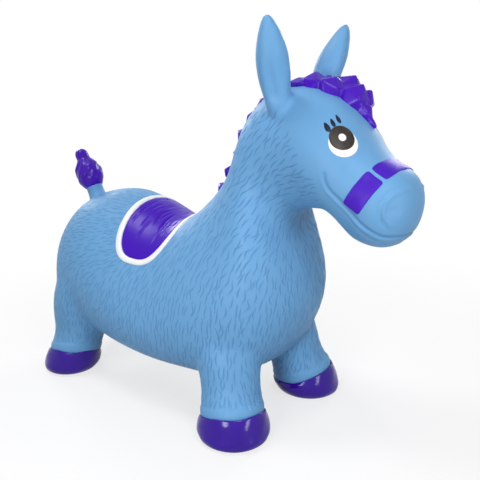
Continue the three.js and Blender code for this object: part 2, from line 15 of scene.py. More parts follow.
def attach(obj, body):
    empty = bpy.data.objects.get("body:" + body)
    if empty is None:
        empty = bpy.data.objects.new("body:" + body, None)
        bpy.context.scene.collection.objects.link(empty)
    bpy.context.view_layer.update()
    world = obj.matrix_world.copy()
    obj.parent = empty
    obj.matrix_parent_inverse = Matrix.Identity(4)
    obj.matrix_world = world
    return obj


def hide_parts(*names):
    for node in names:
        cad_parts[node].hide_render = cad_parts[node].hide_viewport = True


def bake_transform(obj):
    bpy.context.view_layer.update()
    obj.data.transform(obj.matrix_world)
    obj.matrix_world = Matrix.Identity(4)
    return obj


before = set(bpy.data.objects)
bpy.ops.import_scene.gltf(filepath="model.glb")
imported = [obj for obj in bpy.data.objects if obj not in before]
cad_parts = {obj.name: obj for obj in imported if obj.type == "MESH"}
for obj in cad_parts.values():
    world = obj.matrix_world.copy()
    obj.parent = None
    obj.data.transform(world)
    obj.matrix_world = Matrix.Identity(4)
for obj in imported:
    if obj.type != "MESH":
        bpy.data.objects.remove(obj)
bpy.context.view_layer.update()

FORWARD = -58.99  # from the millimetres used here to the middle of the footprint
VOXEL = 2.05  # grid of the skin's first mesh
LEFT, RIGHT = 1, -1
SIDE_NAMES = {LEFT: "left", RIGHT: "right"}

RINGS_BETWEEN = 3  # rings from one section of a form to its next

# Trunk sections from rump to muzzle: top line x, z; underside x, z; half width; narrowing upwards
TRUNK = [
    (-100, 260, -100, 50, 105, 0.12),
    (-50, 252, -45, 45, 104, 0.28),
    (6, 234, 14, 42, 102.5, 0.3),
    (40, 245, 68, 43, 101, 0.28),
    (68, 268, 120, 49, 98, 0.3),
    (89, 293, 171, 83, 89, 0.35),
    (103, 319, 201, 142, 76, 0.25),
    (113, 345, 197, 195, 63, 0.1),
    (126, 368, 183, 239, 56, 0),
    (143, 388, 193, 265, 55, 0),
    (168, 403, 221, 271, 57, 0),
    (207, 404, 238, 269, 60, 0),
    (241, 388, 250, 261, 58, -0.06),
    (264, 367, 260, 250, 53, -0.1),
    (281, 346, 269, 243, 48.5, -0.06),
    (298, 329, 281, 240, 48.5, 0),
]
RUMP_TIP = (-207, 150)
MUZZLE_TIP = (330, 275)
TRUNK_POWER = 2 / 2.2  # a little squarer than an ellipse
DOME_POWER = 2 / 2.3
DOME_RINGS = 7
DOME_STEPS = 7.4  # the last ring stops short of the tip

# Leg sections from the ankle up: height, along, across, radius, slope to the front, slope to the outside
FRONT_LEG = [
    (27, 149, 76, 38.5, 0.25, 0.17),
    (58, 140, 68, 35.5, 0.12, 0.08),
    (95, 129, 60, 41, 0, 0),
    (150, 108, 44, 48, 0, 0),
]
REAR_LEG = [
    (27, -149, 76, 35.5, 0.15, 0.25),
    (58, -142, 69, 36, 0.07, 0.12),
    (95, -137, 62, 45.5, 0, 0),
    (130, -129, 56, 49, 0, 0),
    (178, -112, 45, 46, 0, 0),
]
LEG_TUCK = 9  # how far a leg goes on down into its hoof
LEG_TUCK_THINNER = 3

# Sections of each pair of legs, the middle of its soles along the horse, and the radius of its hooves
LEGS = {"front": (FRONT_LEG, 155.25, 44), "rear": (REAR_LEG, -155.25, 40)}
HOOF_ACROSS = 81  # from the middle of the horse to the middle of a sole

# Ear sections above its root: height, half width, thickness, forward, flat of the front
EAR = [
    (-14, 10, 9.5, -1, 0),
    (0, 14.5, 14, -1, 0),
    (15, 14.6, 15, -1, 1),
    (26, 15.4, 17, -1, 3),
    (41, 16, 19.2, 0, 5),
    (59, 15.6, 17.4, 2, 3),
    (76, 12.2, 12.6, 4, 1),
    (88, 8.2, 8.4, 5.5, 0),
    (95, 4.8, 4.8, 6.5, 0),
    (98.4, 1.8, 1.6, 7, 0),
]
EAR_RIDGE = (-68, 20, 0.14)  # degrees round the ear, breadth in degrees, and height as a share of the ear
EAR_HOLLOW = (38, 22, 0.34)
RIDGE_RISE = (12, 34)  # heights over which the ridge rises
HOLLOW_RISE = (8, 20)  # heights over which the hollow deepens,
HOLLOW_EASE = (34, 66)  # then eases to HOLLOW_LEFT of its depth,
HOLLOW_END = (80, 94)  # and runs out
HOLLOW_LEFT = 0.3
EAR_ROOT = (188, 41, 381.12)
EAR_LEAN = 22.4  # degrees outwards
EAR_TURN = 30  # degrees the open face looks outwards
EAR_HAIR_TOP = 7  # height above the root where its hair ends
EAR_CUT = 16  # and where the ear's skin is parted off
EAR_BEND = 30  # height above that of a second point on the ear's axis

TAIL_STUB = [(-8, 15), (2, 14.2), (8, 12.8), (16, 12), (24, 12.3), (29, 11.5)]  # height and radius
TAIL_ROOT = (-170, 0, 234.01)
TAIL_LEAN = 28  # degrees backwards
TAIL_HAIR_TOP = 4
TAIL_CUT = 11
TAIL_BEND = 11

# Joins of limbs with the trunk: metres that each is rounded over, and rounds of smoothing
JOINS = {"wide": (0.026, 70), "narrow": (0.009, 14)}
NEAR_TRUNK = 0.03


def at(x, y, z):
    return Vector((x + FORWARD, y, z)) / 1000


EAR_FRAME = Matrix.Translation(at(*EAR_ROOT)) @ Matrix.Rotation(math.radians(-EAR_LEAN), 4, "X")
TAIL_FRAME = Matrix.Translation(at(*TAIL_ROOT)) @ Matrix.Rotation(math.radians(-TAIL_LEAN), 4, "Y")


def mirrored(point, side):
    return Vector((point.x, side * point.y, point.z))


def turns(count):
    return [2 * math.pi * i / count for i in range(count)]


def degrees_from(degrees, middle):
    """Degrees round a circle from its middle, between -180 and 180."""
    return (degrees - middle + 180) % 360 - 180


def signed_power(value, power):
    return math.copysign(abs(value) ** power, value)


def smooth_step(value, low, high):
    share = np.clip((value - low) / (high - low), 0, 1)
    return share * share * (3 - 2 * share)


def through(rows, steps):
    """Rows of numbers with smooth rows between them."""
    rows = np.array(rows, float)
    padded = np.vstack([2 * rows[0] - rows[1], rows, 2 * rows[-1] - rows[-2]])
    made = []
    for i in range(len(rows) - 1):
        a, b, c, d = padded[i : i + 4]
        for t in np.arange(steps) / steps:
            bend = (2 * a - 5 * b + 4 * c - d) * t**2 + (3 * b - a - 3 * c + d) * t**3
            made.append(0.5 * (2 * b + (c - a) * t + bend))
    return [*made, rows[-1]]


# Modelling


def deselect():
    bpy.ops.object.select_all(action="DESELECT")


def activate(piece):
    deselect()
    piece.select_set(True)
    bpy.context.view_layer.objects.active = piece


def edit(piece):
    activate(piece)
    bpy.ops.object.mode_set(mode="EDIT")


def done():
    bpy.ops.object.mode_set(mode="OBJECT")


def shape_ring(piece, ring):
    """Moves the corners of the one selected face to the ring's points."""
    mesh = bmesh.from_edit_mesh(piece.data)
    face = next(f for f in mesh.faces if f.select)
    for corner, point in zip(face.verts, ring):
        corner.co = point
    bmesh.update_edit_mesh(piece.data)


def lofted(name, rings, levels=0, hoop=False):
    """A disc extruded through rings of points. A hoop's last ring joins its first."""
    deselect()
    bpy.ops.mesh.primitive_circle_add(vertices=len(rings[0]), fill_type="NGON")
    piece = bpy.context.object
    piece.name = name
    edit(piece)
    shape_ring(piece, rings[0])
    for ring in rings[1:]:
        bpy.ops.mesh.extrude_region_move()
        shape_ring(piece, ring)
    if hoop:
        bpy.ops.mesh.select_face_by_sides(number=4, type="GREATER", extend=False)
        bpy.ops.mesh.delete(type="ONLY_FACE")
        bpy.ops.mesh.select_mode(type="EDGE")
        bpy.ops.mesh.select_non_manifold(extend=False)
        bpy.ops.mesh.bridge_edge_loops()
    bpy.ops.mesh.select_all(action="SELECT")
    bpy.ops.mesh.normals_make_consistent(inside=False)
    done()
    bpy.ops.object.shade_smooth()
    if levels:
        modify(piece, "SUBSURF", levels=levels, render_levels=levels)
    return piece


def modify(piece, kind, **settings):
    activate(piece)
    modifier = piece.modifiers.new(kind.lower(), kind)
    for key, value in settings.items():
        setattr(modifier, key, value)
    bpy.ops.object.modifier_apply(modifier=modifier.name)


def join(name, pieces):
    deselect()
    for piece in pieces:
        piece.select_set(True)
    bpy.context.view_layer.objects.active = pieces[0]
    bpy.ops.object.join()
    pieces[0].name = pieces[0].data.name = name
    return pieces[0]


def rows_of(items, key):
    """Three numbers from each of a mesh's items."""
    values = np.empty(3 * len(items), np.float32)
    items.foreach_get(key, values)
    return values.reshape(-1, 3)


def coordinates(piece):
    return rows_of(piece.data.vertices, "co").astype(float)


def normals(piece):
    return rows_of(piece.data.vertex_normals, "vector").astype(float)


def move_to(piece, points):
    piece.data.vertices.foreach_set("co", points.astype(np.float32).ravel())
    piece.data.update()


def surface_of(piece):
    return BVHTree.FromObject(piece, bpy.context.evaluated_depsgraph_get())


# The bare skin: trunk, legs, ears and tail stub, fused


def trunk_ring(top_x, top_z, under_x, under_z, half, taper):
    middle_x, middle_z = (top_x + under_x) / 2, (top_z + under_z) / 2
    ring = []
    for turn in turns(32):
        up = signed_power(math.sin(turn), TRUNK_POWER)
        out = signed_power(math.cos(turn), TRUNK_POWER)
        x = middle_x + up * (top_x - middle_x)
        z = middle_z + up * (top_z - middle_z)
        ring.append(at(x, half * out * (1 - taper * up), z))
    return ring


def dome_ring(base, tip, share):
    """The base ring drawn in towards a tip, on a round dome."""
    turn = share * math.pi / 2
    middle = sum(base, Vector()) / len(base)
    centre = middle.lerp(at(tip[0], 0, tip[1]), math.sin(turn) ** DOME_POWER)
    return [(point - middle) * math.cos(turn) ** DOME_POWER + centre for point in base]


def trunk_rings():
    rings = [trunk_ring(*row) for row in through(TRUNK, RINGS_BETWEEN)]
    shares = [i / DOME_STEPS for i in range(1, DOME_RINGS + 1)]
    rump = [dome_ring(rings[0], RUMP_TIP, share) for share in reversed(shares)]
    muzzle = [dome_ring(rings[-1], MUZZLE_TIP, share) for share in shares]
    return [*rump, *rings, *muzzle]


def sloping_ring(x, y, z, radius, to_front, to_left, count):
    ring = []
    for turn in turns(count):
        dx, dy = radius * math.cos(turn), radius * math.sin(turn)
        ring.append(at(x + dx, y + dy, z + dx * to_front + dy * to_left))
    return ring


def leg_rings(sections, side):
    """A leg from its thinner end, inside the hoof, up into the trunk."""
    rows = through(sections, RINGS_BETWEEN)
    height, along, across, radius, *slopes = rows[0]
    rows = [(height - LEG_TUCK, along, across, radius - LEG_TUCK_THINNER, *slopes), *rows]
    return [
        sloping_ring(along, side * across, height, radius, to_front, side * to_out, 28)
        for height, along, across, radius, to_front, to_out in rows
    ]


def swell(angle, middle, breadth, height):
    """A rounded bump at a place round the ear."""
    return height * math.exp(-((degrees_from(math.degrees(angle), middle) / breadth) ** 2))


def ear_reach(angle, height):
    """Reach of the ear at an angle round it, as a share, with its ridge and the hollow of its open face."""
    ridge = swell(angle, *EAR_RIDGE) * smooth_step(height, *RIDGE_RISE)
    low = 1 - smooth_step(height, *HOLLOW_EASE)
    hollow = swell(angle, *EAR_HOLLOW) * (HOLLOW_LEFT + (1 - HOLLOW_LEFT) * low)
    return 1 + ridge - hollow * smooth_step(height, *HOLLOW_RISE) * (1 - smooth_step(height, *HOLLOW_END))


def ear_rings(side):
    turn = math.radians(EAR_TURN)
    rings = []
    for height, half, thick, forward, flat in through(EAR, RINGS_BETWEEN):
        ring = []
        for angle in turns(32):
            reach = ear_reach(angle, height)
            x = reach * thick * math.cos(angle) - flat * max(0, math.cos(angle)) ** 3
            y = reach * half * math.sin(angle)
            point = Vector((
                forward + x * math.cos(turn) - y * math.sin(turn),
                x * math.sin(turn) + y * math.cos(turn),
                height,
            ))
            point = EAR_FRAME @ (point / 1000)
            ring.append(mirrored(point, side))
        rings.append(ring)
    return rings


def tail_stub_rings():
    return [
        [TAIL_FRAME @ (Vector((r * math.cos(t), r * math.sin(t), h)) / 1000) for t in turns(28)]
        for h, r in through(TAIL_STUB, 2)
    ]


def bare_skin():
    trunk = lofted("trunk", trunk_rings(), levels=2)
    limbs = []
    for sections, _, _ in LEGS.values():
        for side in (LEFT, RIGHT):
            limbs.append((lofted("leg", leg_rings(sections, side), levels=1), "wide"))
    for side in (LEFT, RIGHT):
        limbs.append((lofted("ear", ear_rings(side), levels=1), "narrow"))
    limbs.append((lofted("tail", tail_stub_rings(), levels=1), "narrow"))
    trunk_surface = surface_of(trunk)
    limb_surfaces = [(surface_of(limb), kind) for limb, kind in limbs]
    skin = join("skin", [trunk, *(limb for limb, _ in limbs)])
    modify(skin, "REMESH", mode="VOXEL", voxel_size=VOXEL / 1000)
    modify(skin, "SMOOTH", factor=0.5, iterations=3)
    soften_joins(skin, trunk_surface, limb_surfaces)
    modify(skin, "SUBSURF", levels=1, render_levels=1)
    bpy.ops.object.shade_smooth()
    return skin


def soften_joins(skin, trunk_surface, limb_surfaces):
    """Rounds the corners where a limb meets the trunk."""
    groups = {kind: skin.vertex_groups.new(name=kind) for kind in JOINS}
    for i, point in enumerate(coordinates(skin)):
        from_trunk = trunk_surface.find_nearest(point, NEAR_TRUNK)[3]
        if from_trunk is None:
            continue
        for surface, kind in limb_surfaces:
            reach, _ = JOINS[kind]
            from_limb = surface.find_nearest(point, reach)[3]
            if from_limb is None or from_trunk > reach:
                continue
            weight = 1 - (max(from_trunk, from_limb) / reach) ** 2
            groups[kind].add([i], weight, "REPLACE")
    for kind, (_, rounds) in JOINS.items():
        modify(skin, "SMOOTH", factor=0.5, iterations=rounds, vertex_group=kind)


# Engraving: hair strokes and the lines of the face


HAIR_FLOW = [  # place on the right side, and the way the hair lies there
    ((-198, -20, 190), (-0.2, 0, -1)),
    ((-150, -50, 245), (-1, 0, -0.15)),
    ((-165, -85, 205), (-0.95, 0, -0.3)),
    ((-105, -90, 215), (-1, 0, -0.2)),
    ((-60, -98, 200), (-0.95, 0, -0.35)),
    ((-75, -104, 165), (-0.75, 0, -0.65)),
    ((-170, -95, 160), (-0.7, 0, -0.7)),
    ((-110, -104, 130), (-0.3, 0, -0.95)),
    ((-160, -95, 110), (-0.25, 0, -1)),
    ((-30, -105, 140), (-0.2, 0, -1)),
    ((-145, -100, 60), (-0.1, 0, -1)),
    ((-50, -85, 65), (0, 0.2, -1)),
    ((30, -98, 200), (-0.3, 0, -1)),
    ((40, -104, 110), (0, 0, -1)),
    ((95, -98, 150), (-0.1, 0, -1)),
    ((150, -100, 60), (0, 0, -1)),
    ((190, -30, 130), (-0.1, 0, -1)),
    ((115, -80, 240), (-0.3, 0, -0.95)),
    ((115, -60, 320), (-0.45, 0, -0.9)),
    ((160, -57, 345), (-0.65, 0, -0.75)),
    ((165, -58, 300), (-0.7, 0, -0.7)),
    ((215, -55, 290), (-0.95, 0, -0.35)),
    ((190, -35, 250), (-0.6, -0.3, -0.7)),
    ((200, 0, 195), (0, 0, -1)),
    ((-40, 0, 40), (-1, 0, 0)),
    ((-120, 0, 48), (-1, 0, 0)),
    ((80, 0, 40), (-1, 0, 0)),
    ((0, -20, 238), (-0.5, -0.8, 0)),
]
HAIR_REACH = 3.7  # length of a stroke's own ground, over its breadth
HAIR_ROOM = 0.0033  # metres between strokes
HAIR_ROOM_MORE = 0.0011  # and so much more on the chest and neck
CHEST_ALONG, CHEST_UP = (-60, 60), (50, 110)  # millimetres over which that sets in
HAIR_SHORTEST, HAIR_LONGER = 0.85, 0.45  # a stroke's least length over its ground's, and the most it gains
HAIR_HALF_WIDTH = 0.00082
HAIR_DEPTH = 0.8  # millimetres
HAIR_SHALLOWER = 0.3  # and so much less on the rump
HAIR_TURN, HAIR_WAVE = 0.09, 0.28  # radians that a stroke strays and sways
HAIR_TRIES = 60000
HAIR_STEPS = 16  # samples along a stroke
HALF_SAMPLE = 0.0011  # metres that a sample reaches along its stroke
HAIR_LIP = 0.35  # height of the edge beside a stroke, as a share of its depth
HAIR_TAPER = 0.7  # power that draws out a stroke's ends
HAIR_FULL_SHADE = 0.0006  # depth in metres from which a stroke's painted shade is full
HAIR_LEAST = 0.0001  # and below which there is none
FLOW_NEAR = 0.008  # metres over which a place of the flow table holds
FLOW_POWER = 4
BROW_LINE = (188, 389, 0.82, 0.57)  # x and z of a point on it, and the way forward to the smooth forehead
BROW_FADE = (-8, 6)  # millimetres across that line over which the hair ends
CHEEK_FADE = (236, 250)  # along the horse
RUMP_FADE = (-60, 50)
ANKLE_FADE = (11, 16)  # above the hoof's rim
ANKLE_ROOM = 14  # how far from its surface a point still counts as on the leg
KNEE_HEIGHT = 90
LIMB_ROOM = 32  # radius about the ears and tail in which their hair ends
LIMB_FADE = 8
MOUTH = [
    (253, 57, 317), (254, 56.5, 309), (258, 54.5, 301), (265, 51.5, 294), (275, 48.5, 285),
    (291, 47, 270), (303, 43, 261), (312, 36, 256), (321, 23, 255), (326, 0, 255),
]
LOWER_LIP = [(267, 48, 283), (282, 46, 267), (296, 41, 254), (308, 30, 248), (314, 15, 246), (316, 0, 246)]
NOSTRIL = [
    (325, 21, 303), (320, 31, 302), (315.5, 39, 296), (313.5, 42.5, 287), (314, 42, 278), (318, 36, 270),
]
FACE_LINES = [  # line, half width and depth in metres (raised if below 0), lip beside it, and painted shade in its groove
    (MOUTH, 0.002, 0.0014, 0.5, 0.6),
    (LOWER_LIP, 0.002, 0.0005, 0.4, 0),
    (NOSTRIL, 0.0022, -0.0016, 0.3, 0),
]
FACE_LINE_STEPS = 8  # samples from one point of a line to its next
FACE_LINE_END, FACE_LINE_TAPER = 0.06, 0.6  # a line fades towards its ends
FACE_LINE_REACH = 0.06  # metres from a line's middle within which it cuts
NOSTRIL_AT = (321, 34, 286)
NOSTRIL_DEPTH = 0.0014
NOSTRIL_BREADTH = 0.0065
COLLAR_HEIGHT = 0.0008
COLLAR_EDGE = (9, 12.5)  # millimetres above the hoof's rim


def folded_millimetres(points):
    """Points in millimetres, with the right side folded onto the left."""
    return points[:, 0] * 1000 - FORWARD, np.abs(points[:, 1]) * 1000, points[:, 2] * 1000


def above_ankle(points, sections):
    """Height of points above the rim of a leg's hoof, and which of them are on that leg."""
    x, y, z = folded_millimetres(points)
    height, along, across, radius, to_front, to_out = sections[0]
    above = z - height - (x - along) * to_front - (y - across) * to_out
    near = np.hypot(x - along, y - across) < radius + ANKLE_ROOM
    return above, near & (z < KNEE_HEIGHT)


def hair_way(points, outward):
    """Unit way of the hair at points of the skin."""
    places = np.array([at(*place) for place, _ in HAIR_FLOW])
    ways = np.array([way for _, way in HAIR_FLOW], float)
    ways /= np.linalg.norm(ways, axis=1)[:, None]
    side = np.where(points[:, 1] > 0, -1.0, 1.0)
    folded = points * np.stack([np.ones_like(side), side, np.ones_like(side)], 1)
    apart = np.linalg.norm(folded[:, None, :] - places[None], axis=2)
    share = 1 / (apart + FLOW_NEAR) ** FLOW_POWER
    way = (share[:, :, None] * ways[None]).sum(1) / share.sum(1)[:, None]
    way[:, 1] *= side
    way -= outward * (way * outward).sum(1)[:, None]
    return way / np.maximum(np.linalg.norm(way, axis=1), 1e-9)[:, None]


def hair_depth(points):
    """Depth of the hair strokes over the skin, 0 where it is smooth."""
    x, _, z = folded_millimetres(points)
    brow_x, brow_z, forward, up = BROW_LINE
    forehead = smooth_step(forward * (x - brow_x) + up * (z - brow_z), *BROW_FADE)
    depth = (1 - forehead) * (1 - smooth_step(x, *CHEEK_FADE))
    for sections, _, _ in LEGS.values():
        above, on_leg = above_ankle(points, sections)
        depth *= np.where(on_leg, smooth_step(above, *ANKLE_FADE), 1)
    folded = np.stack([points[:, 0], np.abs(points[:, 1]), points[:, 2]], 1)
    for matrix, top in ((EAR_FRAME, EAR_HAIR_TOP), (TAIL_FRAME, TAIL_HAIR_TOP)):
        local = (folded - np.array(matrix.translation)) @ np.array(matrix.to_3x3()) * 1000
        on = np.hypot(local[:, 0], local[:, 1]) < LIMB_ROOM
        depth *= np.where(on, 1 - smooth_step(local[:, 2], top - LIMB_FADE, top), 1)
    on_rump = 1 - smooth_step(x, *RUMP_FADE)
    return depth * (HAIR_DEPTH - HAIR_SHALLOWER * on_rump) / 1000


def spread(points, ways, room, chance):
    """Indices of points at least room apart across the hair and HAIR_REACH times that along it."""
    taken, kept = {}, []
    cells = np.floor(points / (room.max() * HAIR_REACH)).astype(int)
    around = [(a, b, c) for a in (-1, 0, 1) for b in (-1, 0, 1) for c in (-1, 0, 1)]
    for i in chance.permutation(len(points))[:HAIR_TRIES]:
        x, y, z = cells[i]
        near = [j for a, b, c in around for j in taken.get((x + a, y + b, z + c), ())]
        if near:
            gaps = points[near] - points[i]
            along = gaps @ ways[i]
            across = (gaps**2).sum(1) - along**2
            if (across + (along / HAIR_REACH) ** 2 < room[i] ** 2).any():
                continue
        taken.setdefault((x, y, z), []).append(i)
        kept.append(i)
    return kept


def seated(points, surface):
    """Points drawn onto the skin, and the way out of the skin at each."""
    found = [surface.find_nearest(point) for point in points]
    return np.array([hit for hit, _, _, _ in found]), np.array([out for _, out, _, _ in found])


def hair_strokes(skin, surface):
    """Samples along every hair stroke: place, way, outward, half width and depth."""
    chance = np.random.default_rng(11)
    points, outward = coordinates(skin), normals(skin)
    depth = hair_depth(points)
    furred = np.flatnonzero(depth > HAIR_LEAST)
    x, _, z = folded_millimetres(points)
    room = HAIR_ROOM + HAIR_ROOM_MORE * smooth_step(x, *CHEST_ALONG) * smooth_step(z, *CHEST_UP)
    ways = hair_way(points[furred], outward[furred])
    kept = furred[spread(points[furred], ways, room[furred], chance)]
    place, way_turn = points[kept], chance.normal(0, HAIR_TURN, len(kept))
    length = room[kept] * HAIR_REACH * (HAIR_SHORTEST + HAIR_LONGER * chance.random(len(kept)))
    wave = chance.normal(0, HAIR_WAVE, len(kept))
    made = []
    for step in range(HAIR_STEPS):
        place, out = seated(place, surface)
        way = hair_way(place, out)
        bend = (way_turn + wave * math.sin(2 * math.pi * step / (HAIR_STEPS - 1)))[:, None]
        way = way * np.cos(bend) + np.cross(out, way) * np.sin(bend)
        fullness = math.sin(math.pi * (step + 0.5) / HAIR_STEPS) ** HAIR_TAPER
        width = np.full(len(place), HAIR_HALF_WIDTH * fullness)
        made.append((place, way, out, width, depth[kept] * fullness))
        place = place + way * (length / HAIR_STEPS)[:, None]
    return [np.concatenate(column) for column in zip(*made)]


def line_samples(line, side, surface, width, depth):
    """Samples along a line of the face, as hair_strokes gives them."""
    rows = through(line, FACE_LINE_STEPS)
    ends = np.sin(np.pi * np.linspace(FACE_LINE_END, 1 - FACE_LINE_END, len(rows))) ** FACE_LINE_TAPER
    place, out = seated([at(x, side * y, z) for x, y, z in rows], surface)
    way = np.gradient(place, axis=0)
    way /= np.linalg.norm(way, axis=1)[:, None]
    return [place, way * side, out, np.full(len(rows), width), depth * ends]


def engraved(points, samples, lip):
    """Depth cut at points by strokes, with a raised lip on one side, and how far each is in a stroke."""
    place, way, out, width, depth = samples
    tree = KDTree(len(place))
    for i, p in enumerate(place):
        tree.insert(p, i)
    tree.balance()
    nearest = np.array([tree.find(p)[1] for p in points])
    gap = points - place[nearest]
    along = (gap * way[nearest]).sum(1)
    side = np.cross(out[nearest], way[nearest])
    across = (gap * side).sum(1)
    off = np.sqrt(np.maximum((gap**2).sum(1) - along**2, 0))
    beyond = np.maximum(np.abs(along) - HALF_SAMPLE, 0)
    w = width[nearest]
    inside = np.exp(-((off / w) ** 2) - (beyond / w) ** 2)
    ridge = np.exp(-(((across - 2 * w) / w) ** 2) - (beyond / w) ** 2) * (off < 4 * w)
    return depth[nearest] * (lip * ridge - inside), inside


def engrave(skin, surface):
    points, outward = coordinates(skin), normals(skin)
    lift, groove_shade = engraved(points, hair_strokes(skin, surface), HAIR_LIP)
    groove_shade *= np.clip(hair_depth(points) / HAIR_FULL_SHADE, 0, 1)
    for side in (LEFT, RIGHT):
        for line, width, depth, lip, line_shade in FACE_LINES:
            samples = line_samples(line, side, surface, width, depth)
            near = (np.abs(points - samples[0].mean(0)) < FACE_LINE_REACH).all(1)
            cut, inside = engraved(points[near], samples, lip)
            lift[near] += cut
            # A line's painted shade darkens the blue inside its groove
            groove_shade[near] = np.maximum(groove_shade[near], line_shade * inside)
        lift += nostril_dish(points, side)
    lift += ankle_collar(points)
    bore = bore_depth(points)
    move_to(skin, points + outward * lift[:, None] + np.array([0, 0, 1]) * bore[:, None])
    # Painted shade: how dark the blue is painted inside the hair strokes and the mouth line
    mark = skin.data.attributes.new("groove_shade", "FLOAT", "POINT")
    mark.data.foreach_set("value", groove_shade.astype(np.float32))


def nostril_dish(points, side):
    x, y, z = NOSTRIL_AT
    apart = np.linalg.norm(points - np.array(at(x, side * y, z)), axis=1)
    return -NOSTRIL_DEPTH * np.exp(-((apart / NOSTRIL_BREADTH) ** 2))


def ankle_collar(points):
    """The smooth band above each hoof stands a little proud."""
    lift = np.zeros(len(points))
    for sections, _, _ in LEGS.values():
        above, on_leg = above_ankle(points, sections)
        lift += np.where(on_leg, COLLAR_HEIGHT * (1 - smooth_step(above, *COLLAR_EDGE)), 0)
    return lift


PLUG_AT = (-20, 0)
BORE_DEPTH = 0.02
BORE_EDGE = (10.5, 13)  # millimetres from the plug's axis
BELLY_TOP = 0.06  # metres: only the skin below it draws back


def bore_depth(points):
    """The skin draws back behind the valve's flange."""
    x, y = points[:, 0] * 1000 - FORWARD, points[:, 1] * 1000
    apart = np.hypot(x - PLUG_AT[0], y - PLUG_AT[1])
    return np.where(points[:, 2] < BELLY_TOP, BORE_DEPTH * (1 - smooth_step(apart, *BORE_EDGE)), 0)


# The skin is parted where it bends, and into pieces of a handy size


def plane(x, z, forward, up):
    """A point of a plane across the horse, and the way beyond it."""
    return at(x, 0, z), Vector((forward, 0, up)).normalized()


REAR_CUT = plane(-48, 150, 1, 0)
GIRTH_CUT = plane(48, 150, 1, 0)
BREAST_CUT = plane(103, 315, 51, 86)
THROAT_CUT = plane(171.5, 328, 120, 57)
MIDDLE_CUT = (Vector((0, 0, 0)), Vector((0, 1, 0)))
SKIN_PIECES = {  # with the solids that each stands for
    "girth_skin": ["barrel_skin"],
    "crest_skin": ["neck_skin"],
    "tail_stub_skin": ["tail_stem"],
}
for side_name in SIDE_NAMES.values():
    SKIN_PIECES |= {
        f"rear_{side_name}_skin": ["rump_skin", f"leg_rear_{side_name}"],
        f"front_{side_name}_skin": ["withers_skin", "chest_skin", f"leg_front_{side_name}"],
        f"face_{side_name}_skin": ["head_skin", "muzzle_skin"],
        f"ear_{side_name}_skin": [f"ear_{side_name}"],
    }


def bend_cut(matrix, height, side=LEFT):
    """The plane where an ear or the tail starts to bend."""
    point = matrix @ Vector((0, 0, height / 1000))
    way = (matrix.to_3x3() @ Vector((0, 0, 1))).normalized()
    return mirrored(point, side), mirrored(way, side)


def split(piece, cut):
    """Parts a piece along a plane into what lies behind it and what lies beyond, both closed."""
    point, way = cut
    activate(piece)
    bpy.ops.object.duplicate()
    beyond = bpy.context.object
    for half, is_behind in ((piece, True), (beyond, False)):
        edit(half)
        bpy.ops.mesh.select_all(action="SELECT")
        bpy.ops.mesh.bisect(
            plane_co=point, plane_no=way, use_fill=True, clear_outer=is_behind, clear_inner=not is_behind
        )
        done()
    return piece, beyond


def parted(skin):
    """The skin's pieces by name, shaded as the uncut skin."""
    outward = skin.data.attributes.new("outward", "FLOAT_VECTOR", "POINT")
    outward.data.foreach_set("vector", normals(skin).astype(np.float32).ravel())
    pieces = {}
    rear, ahead = split(skin, REAR_CUT)
    rear, pieces["tail_stub_skin"] = split(rear, bend_cut(TAIL_FRAME, TAIL_CUT))
    pieces["rear_right_skin"], pieces["rear_left_skin"] = split(rear, MIDDLE_CUT)
    pieces["girth_skin"], ahead = split(ahead, GIRTH_CUT)
    front, upper = split(ahead, BREAST_CUT)
    pieces["front_right_skin"], pieces["front_left_skin"] = split(front, MIDDLE_CUT)
    pieces["crest_skin"], head = split(upper, THROAT_CUT)
    for side, half in zip((RIGHT, LEFT), split(head, MIDDLE_CUT)):
        name = SIDE_NAMES[side]
        ear_cut = bend_cut(EAR_FRAME, EAR_CUT, side)
        pieces[f"face_{name}_skin"], pieces[f"ear_{name}_skin"] = split(half, ear_cut)
    for name, piece in pieces.items():
        piece.name = name
        keep_shading(piece)
    return pieces


def keep_shading(piece):
    """Gives a cut piece the uncut skin's normals, so that no seam shows."""
    outward = rows_of(piece.data.attributes["outward"].data, "vector")
    outward /= np.maximum(np.linalg.norm(outward, axis=1), 1e-9)[:, None]
    piece.data.normals_split_custom_set_from_vertices(outward.tolist())
    piece.data.attributes.remove(piece.data.attributes["outward"])


# Raised painted zones, seated on the skin


def seat(surface, origin, way):
    """Where a line from outside meets the skin, and the way out of the skin there."""
    hit, out, _, _ = surface.ray_cast(origin, way)
    return hit, out


def relief(name, rings, hoop=False):
    """A raised zone through rings of (seats on the skin, millimetres above it), its back inside the skin."""
    if not hoop:
        rings = [*((ring, rings[0][1]) for ring, _ in reversed(rings[2:])), *rings]
    lifted = [[hit + out * lift / 1000 for hit, out in ring] for ring, lift in rings]
    return lofted(name, lifted, hoop=hoop)


SADDLE_AXIS = 145  # height of the line that the saddle curves about
SADDLE_MIDDLE = -11
SADDLE_HALF_LENGTH = 46.5
SADDLE_REACH = 66  # degrees down each side
SADDLE_POWER = 2 / 2.8
SADDLE_BORDER = 8.6  # breadth of the white border, with the seam inside it
BACK_RADIUS = 100
BACK_CLEAR = 0.2  # metres out from the line that the saddle curves about, clear of the skin
DENTS = 70
DENT_ALONG, DENT_ROUND = 30, 46  # they lie within so many millimetres along and degrees round the back
DENT_WIDTH = (1.1, 1.7)  # millimetres
DENT_LENGTH = (3, 5)  # degrees round the back
DENT_DEPTH = (0.4, 0.9)

